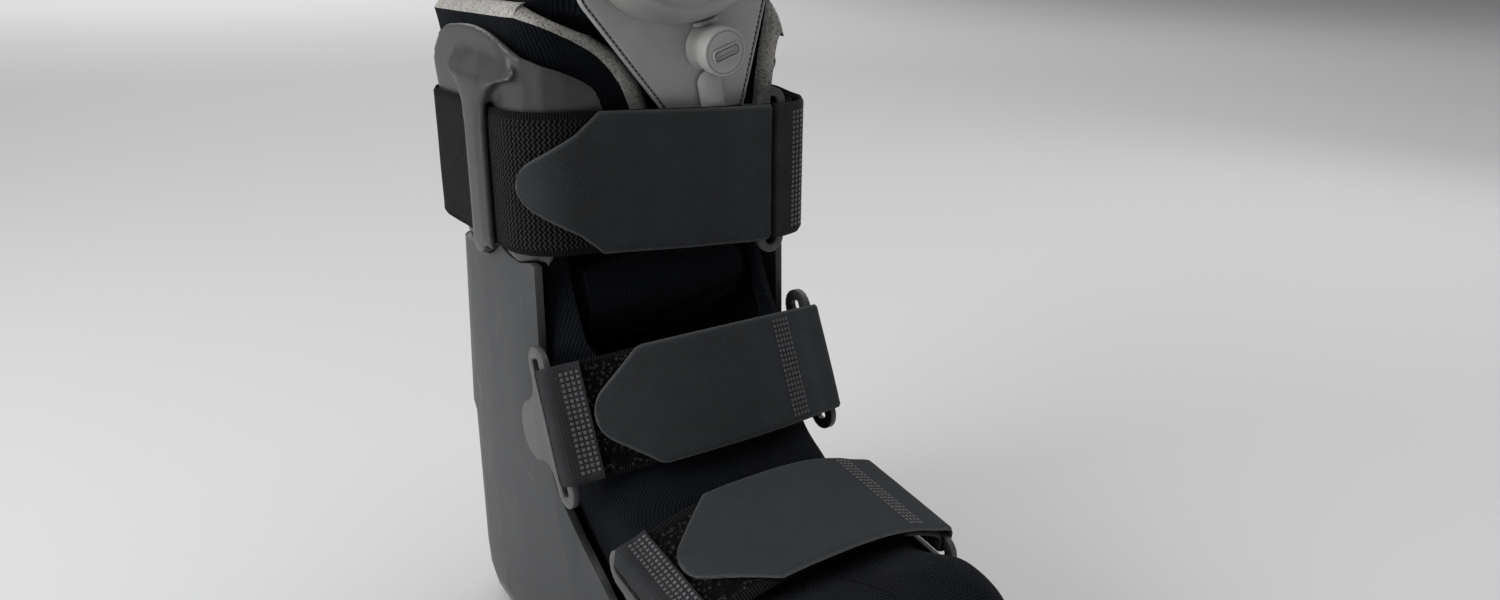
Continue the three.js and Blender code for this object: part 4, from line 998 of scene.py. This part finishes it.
def calf_row(s, layer):
    """A place on the calf strap's path, with its edges, which hang lower at the link."""
    near = clamp((s + 60) / 100) * clamp((80 - s) / 24)
    drop = STRAP_DROP * near * near * (3 - 2 * near)
    return CALF_PATH.point(s, layer), STRAP_BASE - drop, STRAP_TOP - 0.6 * drop


def link_turn(bar, way):
    """The strap's turn round one bar of the link."""
    edge = bar + way * LINK_BAR / 2
    half = (OVER_LINK - INNER) / 2
    steps = [(-1.2, 1), (0.5, 1), (1.7, 0.62), (1.9, 0), (1.7, -0.62), (0.5, -1), (-1.2, -1)]
    return [calf_row(edge + way * out, LINK_LAYER + up * half) for out, up in steps]


def upright(x, y, z):
    return x, y, z


def make_calf_strap():
    bar = LINK_SIDE + (LINK_WIDTH - LINK_BAR) / 2
    stop = LINK_SIDE - LINK_WIDTH / 2 - 7
    path = []
    for s, layer in ((84, 0), (76, 0.05), (70, 0.3), (67, 0.55), (64, 0.85), (61, 1), (58.7, 1)):
        path.append(calf_row(s, mix(OUTER, OVER_LINK, layer)))
    path += link_turn(bar, -1)
    s = bar + 3.5
    while s < CALF_PATH.total + stop:
        path.append(calf_row(s if s < CALF_PATH.total / 2 else s - CALF_PATH.total, INNER))
        s += 4
    path.append(calf_row(stop, INNER))
    loop = Strap(path, STRAP_WALL, upright)
    loop.mesh("calf_loop_strip", CALF_LOOP, "loop_strip", "calf_strap_loop", folded=loop.turned_at())

    bar = LINK_SIDE - (LINK_WIDTH - LINK_BAR) / 2
    full = CALF_STRAP_WIDTH / 2 + 1
    path = []
    for d in [*TIP_STEPS, 26, 28.5, 31, 36, 44, 60, 76]:
        p, low, high = calf_row(CALF_TIP + d, OUTER)
        share = tab_half(d, full) / full
        middle, reach = (low + high) / 2, (high - low) / 2
        path.append((p, middle - share * reach, middle + share * reach))
    for s, layer in ((20, 0), (28, 0.2), (35, 0.7), (40, 1)):
        path.append(calf_row(s, mix(OUTER, OVER_LINK, layer)))
    path += link_turn(bar, 1)
    path.append(calf_row(LINK_SIDE - LINK_WIDTH / 2 - 6.5, INNER))
    tab = Strap(path, STRAP_WALL, upright)
    tab.mesh("calf_tab", TAB, "tab_cloth", "calf_strap_tab")
    return loop


calf_loop = make_calf_strap()

RING_THICKNESS, RING_BAR = 3, 8


class Bow:
    """An ankle or forefoot strap, in the frame of its rings: across, out of the foot, along the bars."""

    def __init__(self, name, along, height, tilt, side, width, start, rise, power, tip):
        self.name, self.width, self.tip = name, width, tip
        self.y, self.z, self.tilt = along_foot(along), height * SHELL_TOP, math.radians(tilt)
        face = side * HALF_WIDTH + GAP
        self.inner = face - GAP - STRAP_WALL / 2
        self.outer = face + RING_THICKNESS + GAP + STRAP_WALL / 2
        self.front = RING_BAR / 2
        self.start, self.rise, self.power = start, rise, power
        self.reach = self.inner - 1.5

    def to_frame(self, x, y, z):
        c, s = math.cos(self.tilt), math.sin(self.tilt)
        return x, self.y + y * c - z * s, self.z + y * s + z * c

    def line(self, x, layer):
        """A place on the bow over the foot, a number of millimetres out of its lowest layer."""
        share = abs(x) / self.reach
        y = -(self.front + self.start + self.rise * (1 - share ** self.power))
        slope = self.rise * self.power * share ** (self.power - 1) * math.copysign(1, x) / self.reach
        out = Vector((slope, -1)).normalized() * layer
        return x + out.x, y + out.y

    def turn(self):
        """The strap's way through a ring's slot and round its bar."""
        near, far, front = self.inner, self.outer, self.front
        slot = RING_BAR / 2 - 2.5 + GAP + STRAP_WALL / 2
        return [
            (near - 0.5, -front - 0.2), (near, -front + 2), (near, slot - 1),
            (mix(near, far, 0.12), slot + 0.1), (mix(near, far, 0.5), slot + 0.5),
            (mix(near, far, 0.88), slot + 0.1), (far, slot - 1),
            (far, -front + 1), (far - 0.6, -front - 2.4),
        ]

    def make(self):
        layer = STRAP_WALL + GAP
        low, high = -self.width / 2, self.width / 2
        path = []
        x = -self.tip - 1.2
        while x > -self.reach + 1:
            path.append((self.line(x, layer), low + 0.6, high - 0.6))
            x -= 2.5
        path += [((-x, y), low + 0.6, high - 0.6) for x, y in self.turn()[::-1]]
        x = -self.reach
        while x < 0.3 * self.reach:
            path.append((self.line(x, 0), low + 0.6, high - 0.6))
            x += 5
        loop = Strap(path, STRAP_WALL, self.to_frame)
        loop.mesh(self.name + "_loop_strip", ANKLE_LOOP, "loop_strip", self.name + "_strap_loop",
                  folded=loop.turned_at())

        path = []
        for d in [*TIP_STEPS, 26, 28, 30]:
            half = tab_half(d, self.width / 2)
            path.append((self.line(-self.tip + d, layer), -half, half))
        x = -self.tip + 33
        while x < self.reach - 3:
            path.append((self.line(x, layer), low, high))
            x += 5
        path += [((x, y), low, high) for x, y in self.turn()[::-1]]
        x = self.reach
        while x > 0.6 * self.reach:
            path.append((self.line(x, 0), low, high))
            x -= 5
        tab = Strap(path, STRAP_WALL, self.to_frame)
        tab.mesh(self.name + "_tab", TAB, "tab_cloth", self.name + "_strap_tab")
        return loop, tab


ankle = Bow("ankle", 0.423, 0.702, -24.7, 0.99, 51, 1.5, 16, 2.1, 55)
forefoot = Bow("forefoot", 0.65, 0.478, -81, 0.912, 57, 1.5, 12, 2.8, 51)
ankle_loop, ankle_tab = ankle.make()
forefoot_loop, forefoot_tab = forefoot.make()


DOT_SIZE, DOT_HEIGHT, DOT_PITCH = 0.00145, 0.0006, 2.3


def weld_dots(strap, name, first, columns, rows, side=1):
    """Small pressed squares that hold a folded end, in columns along the strap."""
    bpy.ops.object.select_all(action="DESELECT")
    bpy.ops.mesh.primitive_cube_add(size=1)
    pattern = bpy.context.active_object
    scaled(pattern, (DOT_SIZE, DOT_SIZE, DOT_HEIGHT))
    modifier(pattern, "BEVEL", width=0.00015, segments=1, limit_method="NONE")
    shape, sides = taken_apart(pattern)
    points, faces = [], []
    for c in range(columns):
        run = first + c * DOT_PITCH
        row, _ = strap.at(run)
        count = min(rows, int((row[3] - row[2] - 4) / DOT_PITCH))
        for r in range(count):
            across = (r - (count - 1) / 2) * DOT_PITCH * 2 / (row[3] - row[2])
            centre = Vector(strap.spot(run, across, side * strap.wall / 2))
            ahead = (Vector(strap.spot(run + 0.5, across, side * strap.wall / 2)) - centre).normalized()
            outward = (Vector(strap.spot(run, across, side * (strap.wall / 2 + 1))) - centre).normalized()
            beside = outward.cross(ahead)
            base = len(points)
            for co in shape:
                points.append(centre + (ahead * co.x + beside * co.y + outward * (co.z + 0.00005)) / MM)
            faces += [tuple(base + i for i in face) for face in sides]
    obj = from_points(name, points, faces)
    smooth(obj, 40)
    return settle(obj, name, DOT, "loop_strip")


weld_dots(calf_loop, "calf_weld_dots", calf_loop.turned_at() - 18, 4, 24, -1)
weld_dots(ankle_loop, "ankle_loop_weld_dots", 1.6, 4, 21, -1)
weld_dots(forefoot_loop, "forefoot_loop_weld_dots", 1.6, 4, 23, -1)
weld_dots(ankle_tab, "ankle_tab_weld_dots", ankle_tab.run_to(35), 5, 20)
weld_dots(forefoot_tab, "forefoot_tab_weld_dots", forefoot_tab.run_to(42), 4, 22)


LEAN = math.atan(CALF_FLARE / (WRAP_TOP - STRAP_TOP))
PANEL_WALL, PANEL_LENGTH, PANEL_TIP, PANEL_WIDE = 2.6, 118, 17, 50
VALVE_SIDE, VALVE_UP, BULB_UP = 3.5, 33.2, 77.5
PANEL_SIDE, PANEL_TILT, BULB_TURN, PANEL_OVERLAP = 24.2, 15, -8, 10
VALVE_RADIUS, VALVE_HEIGHT, STEM_RADIUS, BUTTON_TRAVEL = 9.5, 10, 0.22 * 19, 1.5
PANEL_FOOT = Vector((PANEL_SIDE, CALF.front + 0.28 * WRAP_WALL + SET_BACK, STRAP_TOP - PANEL_OVERLAP))
PUMP_PLACE = (
    Matrix.Translation(PANEL_FOOT * MM)
    @ Matrix.Rotation(math.pi / 2 + LEAN, 4, "X")
    @ Matrix.Rotation(math.radians(PANEL_TILT), 4, "Z")
)


def on_panel(obj, x=0.0, y=0.0, z=0.0, turn=0.0):
    """Sets a piece made at the origin on the panel: across it, up it, and out of it."""
    spun = Matrix.Rotation(math.radians(turn), 4, "Z")
    obj.data.transform(PUMP_PLACE @ Matrix.Translation(Vector((x, y, z)) * MM) @ spun)
    obj.matrix_world = Matrix.Identity(4)


def turned(profile, segments=64, stretch=(1, 1)):
    """A round piece built up from rings of (radius, height), by extruding and scaling."""
    bpy.ops.object.select_all(action="DESELECT")
    radius, height = profile[0]
    bpy.ops.mesh.primitive_circle_add(vertices=segments, radius=radius * MM, fill_type="NGON",
                                      location=(0, 0, height * MM))
    obj = bpy.context.active_object
    bpy.ops.object.transform_apply(location=True, rotation=False, scale=False)
    bpy.ops.object.mode_set(mode="EDIT")
    bpy.ops.mesh.select_all(action="SELECT")
    bpy.ops.mesh.flip_normals()
    for (r0, h0), (r1, h1) in zip(profile, profile[1:]):
        bpy.ops.mesh.extrude_region_move(TRANSFORM_OT_translate={"value": (0, 0, (h1 - h0) * MM)})
        share = r1 / r0
        bpy.ops.transform.resize(value=(share, share, 1), center_override=(0, 0, h1 * MM))
    bpy.ops.mesh.select_all(action="SELECT")
    bpy.ops.mesh.normals_make_consistent(inside=False)
    bpy.ops.mesh.select_all(action="DESELECT")
    leave()
    only(obj)
    scaled(obj, (*stretch, 1))
    return obj


def panel_outline(count, inset=0.0):
    """Evenly spaced points on the panel's edge, each moved straight in from its own place there."""
    wide, top = 0.55 * PANEL_LENGTH, 0.5 * PANEL_WIDE
    flank, outer, corner = PANEL_WIDE - 2, PANEL_WIDE + 3, PANEL_WIDE - 4
    curve = ((flank, wide), (outer, wide + 14), (corner, PANEL_LENGTH), (top, PANEL_LENGTH))
    right = []
    for k in range(31):
        t = k / 30
        weights = ((1 - t) ** 3, 3 * t * (1 - t) ** 2, 3 * t * t * (1 - t), t ** 3)
        right.append(Vector(tuple(sum(w * p[i] for w, p in zip(weights, curve)) for i in (0, 1))))
    edge = [Vector((-PANEL_TIP, 0)), Vector((PANEL_TIP, 0)), *right]
    edge += [Vector((-q.x, q.y)) for q in right[::-1]]
    moved = []
    for before, here, after in zip(edge[-1:] + edge[:-1], edge, edge[1:] + edge[:1]):
        a, b = (here - before).normalized(), (after - here).normalized()
        a, b = Vector((-a.y, a.x)), Vector((-b.y, b.x))
        moved.append(here + (a + b) * (inset / (1 + a.dot(b))))
    runs = [0.0]
    for a, b in zip(edge, edge[1:] + edge[:1]):
        runs.append(runs[-1] + (b - a).length)
    out = []
    for k in range(count):
        want = runs[-1] * k / count
        j = max(i for i in range(len(edge)) if runs[i] <= want)
        f = (want - runs[j]) / max(runs[j + 1] - runs[j], 1e-6)
        out.append(moved[j].lerp(moved[(j + 1) % len(edge)], f))
    return out


# How far in from the panel's edge, and how high, its rim, sewn groove and field lie
PANEL_PROFILE = [
    (0, 0), (0, 2.0), (0.2, 2.45), (0.55, 2.65), (0.85, 2.6), (1.05, 2.0),
    (1.95, 2.0), (2.2, 2.5), (2.7, 2.68), (3.6, 2.66), (5.5, 2.5),
]
GROOVE_MIDDLE, GROOVE_FLOOR = 1.5, 2.05


def make_panel():
    count = 180
    rings = [[(p.x, p.y, height) for p in panel_outline(count, inset)] for inset, height in PANEL_PROFILE]
    faces = [tuple(range(count))[::-1], tuple(range((len(rings) - 1) * count, len(rings) * count))]
    for j in range(len(rings) - 1):
        for k in range(count):
            n = (k + 1) % count
            faces.append((j * count + k, j * count + n, (j + 1) * count + n, (j + 1) * count + k))
    obj = from_metres("pump_backing", [Vector(p) * MM for ring in rings for p in ring], faces)
    even_normals(obj)
    modifier(obj, "TRIANGULATE", quad_method="BEAUTY", ngon_method="BEAUTY")
    smooth(obj, 28)
    on_panel(obj)
    return settle(obj, "pump_backing", PUMP, "pump", stands_for=("pump_panel",))


def make_stitches():
    """A row of short dark threads in the panel's sewn groove."""
    bpy.ops.object.select_all(action="DESELECT")
    bpy.ops.mesh.primitive_uv_sphere_add(segments=10, ring_count=6, radius=0.5 * MM)
    thread = bpy.context.active_object
    scaled(thread, (2.1, 0.75, 0.6))
    shape, sides = taken_apart(thread)
    line = panel_outline(150, GROOVE_MIDDLE)
    points, faces = [], []
    for before, spot, after in zip(line[-1:] + line[:-1], line, line[1:] + line[:1]):
        way = (after - before).normalized()
        base = len(points)
        for co in shape:
            x = spot.x * MM + co.x * way.x - co.y * way.y
            y = spot.y * MM + co.x * way.y + co.y * way.x
            points.append((x, y, GROOVE_FLOOR * MM + co.z))
        faces += [tuple(base + i for i in face) for face in sides]
    obj = from_metres("panel_stitches", points, faces)
    on_panel(obj)
    smooth(obj, 60)
    return settle(obj, "panel_stitches", THREAD, "pump")


CHANNEL_HALF = 6


def make_channel(name, x, start, end):
    """The air channel: a low ridge on the panel with round ends."""
    bpy.ops.object.select_all(action="DESELECT")
    bpy.ops.mesh.primitive_uv_sphere_add(segments=48, ring_count=24, radius=CHANNEL_HALF * MM)
    obj = bpy.context.active_object
    reach = (end - start) / 2 * MM
    stretch = max(0.0, reach - CHANNEL_HALF * MM)
    for vertex in obj.data.vertices:
        vertex.co.y += math.copysign(stretch, vertex.co.y) if abs(vertex.co.y) > 1e-6 else 0
        vertex.co.y = clamp(vertex.co.y, -reach, reach)
    edit(obj)
    bpy.ops.mesh.bisect(plane_co=(0, 0, 0), plane_no=(0, 0, 1), clear_inner=True, use_fill=True)
    bpy.ops.mesh.select_all(action="SELECT")
    bpy.ops.transform.resize(value=(1, 1, 0.47))
    leave()
    smooth(obj, 60)
    on_panel(obj, x, (start + end) / 2, PANEL_WALL - 0.1)
    return settle(obj, name, PUMP, "pump")


def make_bulb():
    profile = [
        (42, 0), (42, 1.2), (41.7, 3), (41, 5.2), (39.8, 7.6), (38, 9.8), (35.8, 11.6), (33.6, 12.8),
        (32, 13.3), (31, 13.3), (30.3, 12.9), (29.4, 12.6), (28, 12.8), (25, 13.3), (19, 13.9),
        (10, 14.4), (3, 14.6),
    ]
    obj = turned(profile, 96, (1, 32 / 42))
    modifier(obj, "SUBSURF", levels=1, render_levels=1)
    smooth(obj, 60)
    on_panel(obj, 0, BULB_UP, PANEL_WALL + GAP, BULB_TURN)
    return settle(obj, "hand_pump_bulb", BULB, "bulb", stands_for=("pump_bulb",))


def make_valve():
    bore = STEM_RADIUS + GAP
    profile = [
        (VALVE_RADIUS + 0.9, 0), (10, 0.35), (9.7, 1), (9.55, 2), (VALVE_RADIUS, 4), (VALVE_RADIUS, 9.2),
        (8.7, VALVE_HEIGHT), (bore, VALVE_HEIGHT), (bore, 4.5),
    ]
    obj = turned(profile, 72)
    smooth(obj, 30)
    on_panel(obj, VALVE_SIDE, VALVE_UP, PANEL_WALL + GAP)
    return settle(obj, "valve_seat", PUMP, "pump", stands_for=("release_valve",))


def make_button():
    """The cap, with a groove inside its rim, and the raised outline of a bar on it."""
    profile = [
        (STEM_RADIUS, -3.6), (STEM_RADIUS, 0), (9.8, 0), (9.8, -3.4), (10.2, -3.4), (10.2, 2.7), (9.95, 3.2),
        (9.5, 3.4), (9.15, 3.4), (9, 3.0), (8.75, 3.0), (8.6, 3.4), (8.2, 3.45),
    ]
    obj = turned(profile, 80)
    smooth(obj, 32)
    height = PANEL_WALL + GAP + VALVE_HEIGHT + BUTTON_TRAVEL + GAP
    on_panel(obj, VALVE_SIDE, VALVE_UP, height)
    settle(obj, "valve_cap", PUMP, "pump", BUTTON, ("release_button",))
    bpy.ops.object.select_all(action="DESELECT")
    bpy.ops.mesh.primitive_cube_add(size=1)
    bar = bpy.context.active_object
    scaled(bar, (0.0124, 0.0046, 0.0011))
    edit(bar)
    bpy.ops.mesh.select_all(action="DESELECT")
    leave()
    for edge in bar.data.edges:
        a, b = (bar.data.vertices[i].co for i in edge.vertices)
        edge.select = abs(a.z - b.z) > 1e-4
    bpy.ops.object.mode_set(mode="EDIT")
    bpy.ops.mesh.select_mode(type="EDGE")
    bpy.ops.mesh.bevel(offset=1.5 * MM, segments=6, affect="EDGES")
    leave()
    pick(bar, lambda v: v.z > 0.2)
    bpy.ops.mesh.inset(thickness=0.65 * MM, depth=0)
    bpy.ops.mesh.inset(thickness=0.15 * MM, depth=-0.45 * MM)
    leave()
    smooth(bar, 40)
    on_panel(bar, VALVE_SIDE, VALVE_UP, height + 3.5, 4)
    return settle(bar, "valve_cap_bar", PUMP, "pump", BUTTON)


make_panel()
make_stitches()
make_channel("air_channel_low", VALVE_SIDE - 2.5, 1, VALVE_UP - 9.9)
make_channel("air_channel_high", VALVE_SIDE + 1, VALVE_UP + 9.9, BULB_UP - 32.8)
make_bulb()
make_valve()
make_button()


# Painted pool of light: the floor's grey near the boot and far from it.
NEAR_GREY, FAR_GREY = (0.76, 0.76, 0.765), (0.6, 0.6, 0.605)


def pale_floor():
    """Soft grey all round, a little lighter about the boot: a painted pool of light."""
    paint = Paint("pale_floor", 0.8, Specular_IOR_Level=0.1)
    x, y, _ = paint.split(paint.where)
    squares = paint.math("ADD", paint.math("MULTIPLY", x, x), paint.math("MULTIPLY", y, y))
    far = paint.math("SQRT", squares)
    paint.colour(paint.blend(paint.fit(far, 0.3, 2.6), NEAR_GREY, FAR_GREY))
    return paint.material


# Each lamp's place, what it looks at, its size and its power
BOOT_MIDDLE, FAR_FLOOR = (0, 0, 0.15), (1.5, 8.5, 0)
LAMPS = {
    "ceiling": ((0.4, 1.0, 3.0), BOOT_MIDDLE, 6.0, 85),
    "left_box": ((-1.5, 0.1, 0.7), BOOT_MIDDLE, 1.0, 17),
    "right_box": ((1.4, 0.1, 0.9), BOOT_MIDDLE, 1.0, 3),
    "far_box": ((1.0, 7.5, 3.6), FAR_FLOOR, 7.0, 300),
}


def make_stage():
    bpy.ops.object.select_all(action="DESELECT")
    bpy.ops.mesh.primitive_plane_add(size=60, location=(0, 0, -0.0002))
    floor = bpy.context.active_object
    floor.name = "floor"
    floor.data.materials.append(pale_floor())
    world = bpy.data.worlds.new("studio")
    bpy.context.scene.world = world
    world.use_nodes = True
    world.node_tree.nodes["Background"].inputs["Color"].default_value = (0.97, 0.98, 1, 1)
    world.node_tree.nodes["Background"].inputs["Strength"].default_value = 0.2
    for name, (place, aim, size, power) in LAMPS.items():
        light = bpy.data.lights.new(name, "AREA")
        light.size, light.energy = size, power
        lamp = bpy.data.objects.new(name, light)
        bpy.context.scene.collection.objects.link(lamp)
        lamp.location = place
        lamp.rotation_euler = (Vector(aim) - Vector(place)).to_track_quat("-Z", "Y").to_euler()
    bpy.context.scene.view_settings.view_transform = "Standard"


make_stage()
